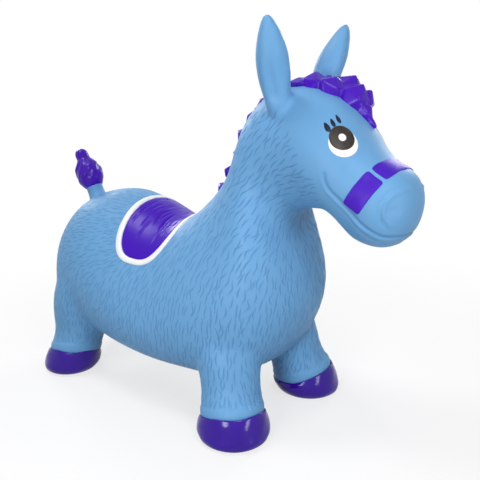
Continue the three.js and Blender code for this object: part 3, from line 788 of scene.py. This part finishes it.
# Profiles of raised zones from the edge inwards: share of the outline, or millimetres in from it, and height
PANEL_PROFILE = [(1, -1), (1, 0.6), (0.992, 1.2), (0.975, 1.5)]
PANEL_PROFILE += [(share, 1.6) for share in np.linspace(0.94, 0.04, 22)]
BORDER_PROFILE = [
    (0, -1), (0, 0.7), (0.7, 1.4), (2, 1.8), (4.2, 2), (6.4, 1.8), (7.7, 1.4), (8.3, 0.7), (8.3, -1),
]
BAND_PROFILE = [(1, -1), (1, 0.4), (0.985, 0.8), (0.95, 1.05), (0.9, 1.15)]
BAND_PROFILE += [(share, 1.2) for share in np.linspace(0.8, 0.05, 12)]


def saddle_ring(surface, inset, share):
    """Ring of the saddle's oval on the back, drawn in by inset millimetres and then shrunk to a share."""
    ring = []
    for turn in turns(120):
        along = (SADDLE_HALF_LENGTH - inset) * share * signed_power(math.cos(turn), SADDLE_POWER)
        reach = (math.radians(SADDLE_REACH) - inset / BACK_RADIUS) * share
        round_back = reach * signed_power(math.sin(turn), SADDLE_POWER)
        way = Vector((0, math.sin(round_back), math.cos(round_back)))
        origin = at(SADDLE_MIDDLE + along, 0, SADDLE_AXIS)
        ring.append(seat(surface, origin + way * BACK_CLEAR, -way))
    return ring


def dent(panel):
    """Short dents that run down from the ridge of the back, as in worn leather."""
    chance = np.random.default_rng(21)
    points, outward = coordinates(panel), normals(panel)
    along = points[:, 0] * 1000 - FORWARD
    round_back = np.degrees(np.arctan2(points[:, 1], points[:, 2] - SADDLE_AXIS / 1000))
    lift = np.zeros(len(points))
    for _ in range(DENTS):
        middle = SADDLE_MIDDLE + DENT_ALONG * chance.uniform(-1, 1)
        reach = chance.uniform(-DENT_ROUND, DENT_ROUND)
        across = (along - middle) / chance.uniform(*DENT_WIDTH)
        down = (round_back - reach) / chance.uniform(*DENT_LENGTH)
        lift -= chance.uniform(*DENT_DEPTH) / 1000 * np.exp(-(across**2 + down**2))
    move_to(panel, points + outward * lift[:, None])


def saddle(surface):
    panel_rings = [(saddle_ring(surface, SADDLE_BORDER, share), lift) for share, lift in PANEL_PROFILE]
    panel = relief("saddle_panel_paint", panel_rings)
    modify(panel, "SUBSURF", levels=1, render_levels=1)
    dent(panel)
    border_rings = [(saddle_ring(surface, inset, 1), lift) for inset, lift in BORDER_PROFILE]
    border = relief("saddle_border_paint", border_rings, hoop=True)
    return panel, border


NOSE_PITCH = 30.6  # degrees the nose points down
NOSEBAND_AT = (278, 0, 282)
NOSE_CLEAR = 0.15  # metres out from the middle of the nose, clear of the skin
NOSEBAND_HALF_WIDTH = 10.4
NOSEBAND_POWER = 2 / 12  # nearly a rectangle
NOSEBAND = {  # degrees round the nose at each patch's middle, and half its reach
    "noseband_bridge": (0, 35.5),
    "noseband_cheek_left": (63.2, 23.2),
    "noseband_cheek_right": (-63.2, 23.2),
}


def noseband_ring(surface, middle, half, share):
    """Ring of a noseband patch, shrunk to a share."""
    pitch = math.radians(NOSE_PITCH)
    face = Vector((math.cos(pitch), 0, -math.sin(pitch)))
    up = Vector((math.sin(pitch), 0, math.cos(pitch)))
    ring = []
    for turn in turns(80):
        along = NOSEBAND_HALF_WIDTH * share * signed_power(math.cos(turn), NOSEBAND_POWER)
        round_nose = math.radians(middle + half * share * signed_power(math.sin(turn), NOSEBAND_POWER))
        way = up * math.cos(round_nose) + Vector((0, 1, 0)) * math.sin(round_nose)
        origin = at(*NOSEBAND_AT) + face * along / 1000
        ring.append(seat(surface, origin + way * NOSE_CLEAR, -way))
    return ring


def noseband(surface, name, middle, half):
    rings = [(noseband_ring(surface, middle, half, share), lift) for share, lift in BAND_PROFILE]
    return relief(name, rings)


EVEN_OVER = 0.008  # metres over which a painted zone's tilt is evened
FACE_CLEAR = 0.04  # metres out from the face, clear of the skin


def face_frame(surface, hit, out):
    """A frame on the skin, its z the way out, evened over a few millimetres, and its y up the skin."""
    axes = ((1, 0, 0), (0, 1, 0), (0, 0, 1))
    steps = [Vector(axis) * step for axis in axes for step in (-EVEN_OVER, EVEN_OVER)]
    out = sum((surface.find_nearest(hit + step)[1] for step in steps), out.copy()).normalized()
    up = (Vector((0, 0, 1)) - out * out.z).normalized()
    matrix = Matrix((up.cross(out), up, out)).transposed().to_4x4()
    matrix.translation = hit
    return matrix


def disc(surface, name, matrix, outline, profile):
    """A flat zone with the outline's points, seated on the skin along the frame's z."""
    way = -(matrix.to_3x3() @ Vector((0, 0, 1)))
    rings = []
    for share, lift in profile:
        ring = [matrix @ Vector((x * share / 1000, y * share / 1000, FACE_CLEAR)) for x, y in outline]
        rings.append(([seat(surface, point, way) for point in ring], lift))
    return relief(name, rings)


def round_outline(radius, count=64):
    return [(radius * math.cos(t), radius * math.sin(t)) for t in turns(count)]


def lash_outline(length, width):
    """A drop, broad at the root and drawn out to a point."""
    outline = []
    for turn in turns(28):
        up = math.cos(turn)
        outline.append((width / 2 * math.sin(turn) * (1 - LASH_POINT * up), length / 2 * up))
    return outline


EYE_AT = (262.3, 354)
LEFT_EYE_SHIFT = (-1.5, -3)  # hidden behind the bridge of the nose
WHITE_BACK, WHITE_DOWN = 0.001, 0.005  # metres from the iris to the middle of the white
WHITE_RADIUS = 15.6
IRIS_RADIUS = 13.5
SHINE_RADIUS = 4.1
LASHES = {  # place, length, width and degrees of turn
    "outer": ((247.7, 364), 11.4, 5.4, 24),
    "middle": ((250.2, 368.2), 10, 4.4, 14),
    "inner": ((252, 371.6), 11, 4.3, 8),
}
LASH_POINT = 0.35  # how much a lash is broader at its root than at its point
WHITE_PROFILE = [(1, -1), (1, 0.1), (0.975, 0.18), (0.9, 0.22), (0.6, 0.22), (0.3, 0.22), (0.05, 0.22)]
IRIS_PROFILE = [
    (1, -1), (1, 0.3), (0.97, 0.42), (0.9, 0.5), (0.7, 0.56), (0.5, 0.6), (0.28, 0.62), (0.05, 0.62),
]
SHINE_PROFILE = [(1, 0.2), (1, 0.7), (0.9, 0.85), (0.6, 0.9), (0.08, 0.9)]
LASH_PROFILE = [(1, -0.6), (1, 0.25), (0.85, 0.45), (0.5, 0.55), (0.1, 0.55)]


def eye(surface, side):
    name = SIDE_NAMES[side]
    shift_x, shift_z = LEFT_EYE_SHIFT if side == LEFT else (0, 0)

    def on_face(x, z):
        hit, out = seat(surface, at(x + shift_x, side * 200, z + shift_z), Vector((0, -side, 0)))
        return face_frame(surface, hit, out)

    middle = on_face(*EYE_AT)
    lower = middle @ Matrix.Translation((-side * WHITE_BACK, -WHITE_DOWN, 0))
    shine_outline = round_outline(SHINE_RADIUS, count=32)
    white = disc(surface, f"eye_white_paint_{name}", lower, round_outline(WHITE_RADIUS), WHITE_PROFILE)
    iris = disc(surface, f"iris_paint_{name}", middle, round_outline(IRIS_RADIUS), IRIS_PROFILE)
    shine = disc(surface, f"eye_highlight_paint_{name}", middle, shine_outline, SHINE_PROFILE)
    lashes = []
    for lash, (place, length, width, turn) in LASHES.items():
        turned_frame = on_face(*place) @ Matrix.Rotation(-side * math.radians(turn), 4, "Z")
        outline = lash_outline(length, width)
        piece = disc(surface, f"lash_{lash}_paint_{name}", turned_frame, outline, LASH_PROFILE)
        lashes.append((lash, piece))
    return white, iris, shine, lashes


# Hooves


HOOF_LIP = 1.6  # the rim stands out from the ankle
HOOF_BASE = [  # height, and how far inside the hoof's radius, from the hollow sole up to the widest ring
    (2.5, 12), (0.6, 10.5), (0, 9), (0.4, 6.6), (1.8, 4.2), (3.8, 2.4), (4.7, 1.7), (5.5, 1.5), (8, 0.2),
]
HOOF_WALL = (10, 14, 18, 21, 23.5, 25.4)  # heights of the wall, which curves from the widest ring to the rim
HOOF_WIDEST, HOOF_WALL_HEIGHT = 10, 15.5
HOOF_RIM = [(26.7, 0.5), (27.1, 1.3), (26.2, 2.5), (21, 6)]  # height, and how far inside the rim's radius
HOOF_SLOPE = 13  # height from which the hoof slopes with its ankle
HOOF_DIPS = (43, -73, 165)  # degrees round the hoof where the rim dips
DIP_BREADTH = 24
DIP_DEPTH = 3
RIM_RISE = 1.3  # between the dips
WALL_WAVES = ((0.3, 5, 0.2), (0.25, 9, -0.35))  # height, count round the hoof, and lean with height
WALL_UNEVEN = (3, 24)  # heights between which the wall waves


def hoof_profile(radius, rim):
    """Heights and radii from the sole to the top of the hoof."""
    base = [(h, radius - inside) for h, inside in HOOF_BASE]
    wall = [(h, radius + (rim - radius) * ((h - HOOF_WIDEST) / HOOF_WALL_HEIGHT) ** 2) for h in HOOF_WALL]
    return [*base, *wall, *((h, rim - inside) for h, inside in HOOF_RIM)]


def hoof(end, side):
    sections, sole_x, radius = LEGS[end]
    height, along, across, ankle, to_front, to_out = sections[0]
    sole = np.array([sole_x, side * HOOF_ACROSS])
    top = np.array([along, side * across])
    low, high = WALL_UNEVEN
    rings = []
    for step, r in hoof_profile(radius, ankle + HOOF_LIP):
        share = max(0.0, (step - HOOF_SLOPE) / (height - HOOF_SLOPE))
        centre = sole + (top - sole) * step / height
        ring = []
        for turn in turns(72):
            uneven = sum(size * math.cos(count * turn + lean * step) for size, count, lean in WALL_WAVES)
            reach = r + (uneven if low < step < high else 0)
            dx, dy = reach * math.cos(turn), reach * math.sin(turn)
            way = math.degrees(math.atan2(side * dy, dx))
            dips = sum(math.exp(-(degrees_from(way, dip) / DIP_BREADTH) ** 2) for dip in HOOF_DIPS)
            wave = share**3 * (RIM_RISE - DIP_DEPTH * dips)
            z = step + share * (dx * to_front + side * dy * to_out) + wave
            ring.append(at(centre[0] + dx, centre[1] + dy, max(z, 0)))
        rings.append(ring)
    return lofted(f"hoof_{end}_{SIDE_NAMES[side]}_paint", rings, levels=1)


# Hair in clumps, and the tail's tuft


HAIR_VOXEL = 1.3  # grid of a moulded clump's mesh
HAIR_ROUNDS = 8
LUMP_RADIUS = 1.13  # its corners stand out so far that its faces lie about at its size
LUMP_UNEVEN = 0.11
FORELOCK = [  # from the poll to the point on the forehead: place, size and turn of each lump
    (188, -6, (14, 13, 9), 0.3),
    (202, 2, (16, 19, 15), 0.5),
    (207, 19, (16, 15, 15), 0.9),
    (221, 5, (18, 17, 19), 0.6),
    (228, 20, (17, 15, 22), 0.9),
    (241, 14, (17, 14, 21), 0.4),
    (243, 25, (15, 12, 24), 0.9),
    (255, 16, (13, 9, 12), 0.3),
    (263, 17, (9, 5, 6), 0.3),
]
MANE_ROWS = slice(3, 11)  # the trunk's sections that carry the mane
MANE_LUMPS = 14
MANE_LUMP = (10, 15, 10.5)
MANE_START, MANE_SPAN = 0.08, 0.8  # shares of those sections' length
MANE_SWAY = 3  # millimetres to each side in turn
MANE_STEP = 0.8  # one lump in three is so much higher, and the next one twice that
TAIL_TUFT = [  # height and radius
    (20.5, 8), (22.5, 12.6), (25, 14.4), (31, 17.4), (38, 19.2), (46, 19.6), (54, 17.8),
    (61, 14), (66, 10.6), (70, 9.6), (75, 9.8), (80, 8.2), (83, 5), (84.4, 1.8),
]
TUFT_TWIST = 4.2  # degrees for each millimetre of height
TUFT_LOCKS = ((0.05, 3, 1), (0.045, 8, 0.7))  # depth of the locks, count round the tuft, share of the twist
TUFT_RIPPLE = (0.02, 5, 0.3)  # depth, count round the tuft, and turn for each millimetre of height
TUFT_RISE = (23, 34)  # heights over which the locks begin
TUFT_END = (62, 68)  # and end
TUFT_LEAN = (50, 0.02, 1.3)  # height from which the tip leans back, how much, and how fast that grows


def lump(hit, out, along, size, chance):
    """A lump of hair with a few flat faces: size is half its length, half its width and its height."""
    along = (along - out * along.dot(out)).normalized()
    matrix = Matrix((along, out.cross(along), out)).transposed()
    deselect()
    bpy.ops.mesh.primitive_ico_sphere_add(subdivisions=1, radius=LUMP_RADIUS)
    piece = bpy.context.object
    uneven = LUMP_UNEVEN * chance.standard_normal((len(piece.data.vertices), 1))
    points = coordinates(piece) * (1 + uneven)
    move_to(piece, np.array([hit + matrix @ (Vector(p) * Vector(size) / 1000) for p in points]))
    return piece


def moulded(name, lumps):
    """Lumps fused into one clump of hair."""
    piece = join(name, lumps)
    modify(piece, "REMESH", mode="VOXEL", voxel_size=HAIR_VOXEL / 1000)
    modify(piece, "SMOOTH", factor=0.5, iterations=HAIR_ROUNDS)
    bpy.ops.object.shade_smooth()
    return piece


def forelock(surface):
    chance = np.random.default_rng(5)
    pieces = []
    for x, y, size, turn in FORELOCK:
        hit, out = seat(surface, at(x, y, 600), Vector((0, 0, -1)))
        pieces.append(lump(hit, out, Vector((math.cos(turn), math.sin(turn), 0)), size, chance))
    return moulded("forelock_hair", pieces)


def mane(surface):
    """A row of lumps down the crest of the neck, from the poll to the withers."""
    chance = np.random.default_rng(8)
    rows = through([(row[0], row[1]) for row in TRUNK[MANE_ROWS]], 8)
    length, width, height = MANE_LUMP
    pieces = []
    for i in range(MANE_LUMPS):
        x, z = rows[round((MANE_START + MANE_SPAN * i / (MANE_LUMPS - 1)) * (len(rows) - 1))]
        ends = math.sin(math.pi * (i + 0.8) / (MANE_LUMPS + 0.6)) ** 0.5
        hit, out, _, _ = surface.find_nearest(at(x, MANE_SWAY if i % 2 else -MANE_SWAY, z))
        size = (length, width * ends, (height + MANE_STEP * (i % 3)) * ends)
        pieces.append(lump(hit, out, Vector((out.z, 0, -out.x)), size, chance))
    return moulded("mane_hair", pieces)


def tail_tuft():
    low, amount, growth = TUFT_LEAN
    ripple, ripples, slant = TUFT_RIPPLE
    rings = []
    for height, radius in through(TAIL_TUFT, 2):
        body = smooth_step(height, *TUFT_RISE) * (1 - smooth_step(height, *TUFT_END))
        twist = math.radians(TUFT_TWIST * height)
        lean = -amount * max(0, height - low) ** growth
        ring = []
        for turn in turns(48):
            wave = sum(deep * math.cos(count * (turn - part * twist)) for deep, count, part in TUFT_LOCKS)
            wave += ripple * math.cos(ripples * turn + slant * height)
            r = radius * (1 + body * wave)
            point = Vector((r * math.cos(turn) + lean, r * math.sin(turn), height))
            ring.append(TAIL_FRAME @ (point / 1000))
        rings.append(ring)
    return lofted("tail_tuft_hair", rings, levels=1)


# Air valve in the belly


VALVE_SEAT = [  # radius and height
    (1, 15.5), (4, 15.5), (4.65, 14.8), (4.65, 3.6), (5, 3.2), (9, 3.2), (9.5, 2.8), (9.5, -0.2), (9.9, -0.7),
    (10.8, -0.9), (13, -0.8), (14.6, -0.3), (15.2, 0.6), (14.8, 1.6), (12, 2.2), (8.5, 4), (8, 16), (7, 17),
    (1, 17),
]
AIR_PLUG = [
    (0.6, 1.5), (2.2, 1.5), (2.8, 1.1), (3.4, 0.7), (7.6, 0.6), (8.5, 0.9), (9, 1.6), (8.9, 2.4), (8.5, 2.7),
    (4.6, 2.7), (4.3, 3), (4.3, 6.4), (4.5, 6.9), (4.3, 7.4), (4.3, 9.6), (4.5, 10.1), (4.3, 10.6), (4.2, 14),
    (3.4, 15.9), (2.2, 16.7), (0.6, 16.9),
]


def turned(name, profile, centre):
    """A piece turned about an upright axis: rings of (radius, height), in millimetres."""
    rings = []
    for radius, height in profile:
        ring = [Vector((radius * math.cos(t), radius * math.sin(t), height)) / 1000 for t in turns(48)]
        rings.append([centre + point for point in ring])
    return lofted(name, rings)


def valve(belly):
    return turned("valve_seat_skin", VALVE_SEAT, belly), turned("air_plug_moulding", AIR_PLUG, belly)


# Finishes


class Field:
    """A value over a surface. Arithmetic on it adds Math nodes to its material."""

    def __init__(self, paint, socket):
        self.paint, self.socket = paint, socket

    def __add__(self, other):
        return self.paint.math("ADD", self, other)

    def __mul__(self, other):
        return self.paint.math("MULTIPLY", self, other)

    __radd__ = __add__
    __rmul__ = __mul__


class Paint:
    """A material built up node by node."""

    def __init__(self, name, owner=None):
        self.owner = owner or bpy.data.materials.new(name)
        self.owner.use_nodes = True
        self.tree = self.owner.node_tree
        self.shader = self.tree.nodes.get("Principled BSDF")

    def feed(self, socket, value):
        if isinstance(value, Field):
            self.tree.links.new(value.socket, socket)
        else:
            socket.default_value = value

    def node(self, kind, settings=None, inputs=None, out=0):
        made = self.tree.nodes.new("ShaderNode" + kind)
        for key, value in (settings or {}).items():
            setattr(made, key, value)
        for key, value in (inputs or {}).items():
            self.feed(made.inputs[key], value)
        return Field(self, made.outputs[out])

    def math(self, operation, a, b):
        return self.node("Math", {"operation": operation}, {0: a, 1: b})

    def mix(self, share, a, b):
        return self.node("Mix", {"data_type": "RGBA"}, {0: share, 6: a, 7: b}, 2)

    def noise(self, scale, detail=2.0, roughness=0.5):
        place = self.node("TexCoord", out="Object")
        inputs = {"Vector": place, "Scale": scale, "Detail": detail, "Roughness": roughness}
        return self.node("TexNoise", {}, inputs)

    def grain(self, height, strength, depth):
        return self.node("Bump", {}, {"Strength": strength, "Distance": depth, "Height": height})

    def finish(self, **sockets):
        for name, value in sockets.items():
            self.feed(self.shader.inputs[name.replace("_", " ")], value)
        return self.owner


def colour(red, green, blue):
    """An 8-bit sRGB colour in the renderer's linear light."""
    shares = (value / 255 for value in (red, green, blue))
    return (*(s / 12.92 if s <= 0.04045 else ((s + 0.055) / 1.055) ** 2.4 for s in shares), 1)


def blue_vinyl():
    paint = Paint("blue_vinyl")
    groove_shade = paint.node("Attribute", {"attribute_name": "groove_shade"}, out="Fac")
    cloud = paint.noise(7, 3)
    speck = paint.noise(420, 2)
    tint = paint.mix(cloud, colour(110, 165, 211), colour(101, 157, 206))
    # Painted shade: the blue is darker inside the hair strokes and the mouth line
    tint = paint.mix(groove_shade * 0.5, tint, colour(54, 106, 164))
    rough = 0.4 + 0.1 * cloud + 0.06 * speck + 0.1 * groove_shade
    grain = paint.grain(speck, 0.12, 0.0004)
    return paint.finish(Base_Color=tint, Roughness=rough, Specular_IOR_Level=0.22, Normal=grain)


def purple_paint(name, base, shade, rough, shine):
    paint = Paint(name)
    cloud = paint.noise(26, 3)
    speck = paint.noise(500, 2)
    tint = paint.mix(cloud, colour(*base), colour(*shade))
    grain = paint.grain(speck + 3 * cloud, 0.12, 0.0005)
    rough += 0.1 * cloud
    return paint.finish(Base_Color=tint, Roughness=rough, Specular_IOR_Level=shine, Normal=grain)


def white_paint():
    paint = Paint("white_paint")
    cloud = paint.noise(60, 3)
    tint = paint.mix(cloud, colour(246, 246, 244), colour(232, 233, 236))
    grain = paint.grain(paint.noise(500), 0.1, 0.0004)
    return paint.finish(Base_Color=tint, Roughness=0.34 + 0.1 * cloud, Normal=grain)


def iris_paint():
    paint = Paint("iris_paint")
    speck = paint.noise(900, 3, 0.7)
    cloud = paint.noise(180, 2)
    tint = paint.mix(speck * cloud * 1.6, colour(24, 20, 20), colour(74, 65, 61))
    grain = paint.grain(speck, 0.1, 0.0003)
    return paint.finish(Base_Color=tint, Roughness=0.3 + 0.15 * speck, Specular_IOR_Level=0.2, Normal=grain)


def lash_paint():
    paint = Paint("lash_paint")
    speck = paint.noise(700, 2)
    tint = paint.mix(speck, colour(14, 24, 44), colour(28, 44, 70))
    return paint.finish(Base_Color=tint, Roughness=0.3 + 0.1 * speck, Specular_IOR_Level=0.15)


def plug_plastic():
    paint = Paint("plug_plastic")
    cloud = paint.noise(90, 3)
    tint = paint.mix(cloud, colour(236, 236, 230), colour(218, 219, 214))
    grain = paint.grain(paint.noise(800), 0.1, 0.0003)
    return paint.finish(Base_Color=tint, Roughness=0.42 + 0.12 * cloud, Normal=grain)


# Assembly


def dress(piece, material, body="horse", stands_for=()):
    piece.data.materials.clear()
    piece.data.materials.append(material)
    piece.data.name = piece.name
    if body:
        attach(piece, body)
    if stands_for:
        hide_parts(*stands_for)
    return piece


def build_skin(vinyl):
    skin = bare_skin()
    surface = surface_of(skin)
    engrave(skin, surface)
    bends = {"tail_stub_skin": ("tail", TAIL_FRAME, LEFT, TAIL_CUT, TAIL_CUT + TAIL_BEND)}
    for side, name in SIDE_NAMES.items():
        bends[f"ear_{name}_skin"] = (f"ear_{name}", EAR_FRAME, side, EAR_CUT, EAR_CUT + EAR_BEND)
    for name, piece in parted(skin).items():
        bend = bends.get(name)
        dress(piece, vinyl, body=None if bend else "horse", stands_for=SKIN_PIECES[name])
        if bend:
            body, matrix, side, low, high = bend
            start, end = (mirrored(matrix @ Vector((0, 0, h / 1000)), side) for h in (low, high))
            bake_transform(piece)
    return surface


def build_painted(surface, vinyl):
    purple = purple_paint("purple_paint", (72, 22, 186), (62, 14, 172), 0.24, 0.14)
    band_purple = purple_paint("band_purple", (72, 22, 186), (62, 14, 172), 0.42, 0.24)
    hoof_purple = purple_paint("hoof_purple", (56, 11, 158), (46, 7, 136), 0.13, 0.28)
    hair_purple = purple_paint("hair_purple", (80, 26, 192), (58, 12, 154), 0.22, 0.2)
    white, iris, lash = white_paint(), iris_paint(), lash_paint()
    panel, border = saddle(surface)
    dress(panel, purple, stands_for=["saddle_panel"])
    dress(border, white, stands_for=["saddle_border"])
    for node, (middle, half) in NOSEBAND.items():
        patch = noseband(surface, f"{node}_paint", middle, half)
        dress(patch, band_purple, stands_for=[node])
    for side, name in SIDE_NAMES.items():
        eye_white, eye_iris, shine, lashes = eye(surface, side)
        dress(eye_white, white, stands_for=[f"eye_white_{name}"])
        dress(eye_iris, iris, stands_for=[f"iris_{name}"])
        dress(shine, white, stands_for=[f"eye_highlight_{name}"])
        for which, piece in lashes:
            dress(piece, lash, stands_for=[f"lash_{which}_{name}"])
        for end in LEGS:
            dress(hoof(end, side), hoof_purple, stands_for=[f"hoof_{end}_{name}"])
    dress(forelock(surface), hair_purple, stands_for=["forelock"])
    dress(mane(surface), hair_purple, stands_for=["mane"])
    dress(tail_tuft(), hair_purple, body="tail", stands_for=["tail_tuft"])
    belly = seat(surface, at(*PLUG_AT, -100), Vector((0, 0, 1)))[0]
    valve_seat, plug = valve(belly)
    dress(valve_seat, vinyl)
    dress(plug, plug_plastic(), body="air_plug", stands_for=["air_plug"])


# Studio


LAMPS = {  # place in metres, size and power
    "side": ((0.3, -0.88, 0.36), 0.3, 3.6),
    "front": ((0.648, -0.374, 0.785), 0.3, 2.4),
    "top": ((-0.566, -0.397, 1.753), 0.5, 11),
    "low": ((1.15, -0.12, 0.25), 0.3, 2.2),
    "far": ((-0.1, 1.6, 0.9), 0.6, 10),
    "back": ((-1.5, 0.5, 0.9), 0.6, 9),
}
LAMPS_AIM = (0, 0, 0.2)
SKY_LIGHT = 0.2
CAMERA_AT = (0.52841, -0.61, 0.4115)
CAMERA_DOWN = 14.13  # degrees below level
CAMERA_TURN = 38.64
CAMERA_LENS = 48.17
CAMERA_SENSOR = 36


def seen(paint):
    """1 for what the camera, a reflection or a clear piece sees, and 0 for light."""
    rays = [paint.node("LightPath", out=f"Is {kind} Ray") for kind in ("Camera", "Glossy", "Transmission")]
    return paint.node("Math", {"operation": "ADD", "use_clamp": True}, {0: rays[0] + rays[1], 1: rays[2]})


def floor():
    deselect()
    bpy.ops.mesh.primitive_grid_add(x_subdivisions=2, y_subdivisions=2, size=8)
    ground = bpy.context.object
    ground.name = "floor"
    paint = Paint("floor_white")
    place = paint.node("TexCoord", out="Object")
    apart = paint.node("VectorMath", {"operation": "LENGTH"}, {0: place}, "Value")
    fade = {"Value": apart, "From Min": 0.35, "From Max": 0.95}
    far = paint.node("MapRange", {"interpolation_type": "SMOOTHSTEP"}, fade)
    tone = 0.4 + 0.5 * seen(paint)
    grey = paint.node("CombineColor", {}, {0: tone, 1: tone, 2: tone})
    matte = paint.node("BsdfDiffuse", {}, {"Color": grey})
    lit = paint.node("Emission", {}, {"Color": (1, 1, 1, 1), "Strength": 1.0})
    mixed = paint.node("MixShader", {}, {0: (0.7 + 0.3 * far) * seen(paint), 1: matte, 2: lit})
    paint.tree.links.new(mixed.socket, paint.tree.nodes["Material Output"].inputs["Surface"])
    ground.data.materials.append(paint.owner)


def lamp(name, place, size, power):
    """A round soft lamp that looks at the middle of the horse."""
    deselect()
    bpy.ops.object.light_add(type="AREA", location=place)
    light = bpy.context.object
    light.name = name
    light.data.shape = "DISK"
    light.data.size = size
    light.data.energy = power
    light.visible_camera = False
    light.rotation_euler = (Vector(LAMPS_AIM) - Vector(place)).to_track_quat("-Z", "Y").to_euler()


def studio():
    world = bpy.data.worlds.new("studio")
    bpy.context.scene.world = world
    paint = Paint("studio", world)
    sky = paint.tree.nodes["Background"]
    sky.inputs["Color"].default_value = (1, 1, 1, 1)
    paint.feed(sky.inputs["Strength"], SKY_LIGHT + (1 - SKY_LIGHT) * seen(paint))
    for name, (place, size, power) in LAMPS.items():
        lamp(name, place, size, power)
    floor()
    deselect()
    bpy.ops.object.camera_add(location=CAMERA_AT)
    camera = bpy.context.object
    camera.rotation_euler = (math.radians(90 - CAMERA_DOWN), 0, math.radians(CAMERA_TURN))
    camera.data.lens = CAMERA_LENS
    camera.data.sensor_width = CAMERA_SENSOR
    camera.data.clip_start = 0.01
    bpy.context.scene.camera = camera
    bpy.context.scene.view_settings.view_transform = "Standard"


studio()
skin_vinyl = blue_vinyl()
bare_surface = build_skin(skin_vinyl)
build_painted(bare_surface, skin_vinyl)
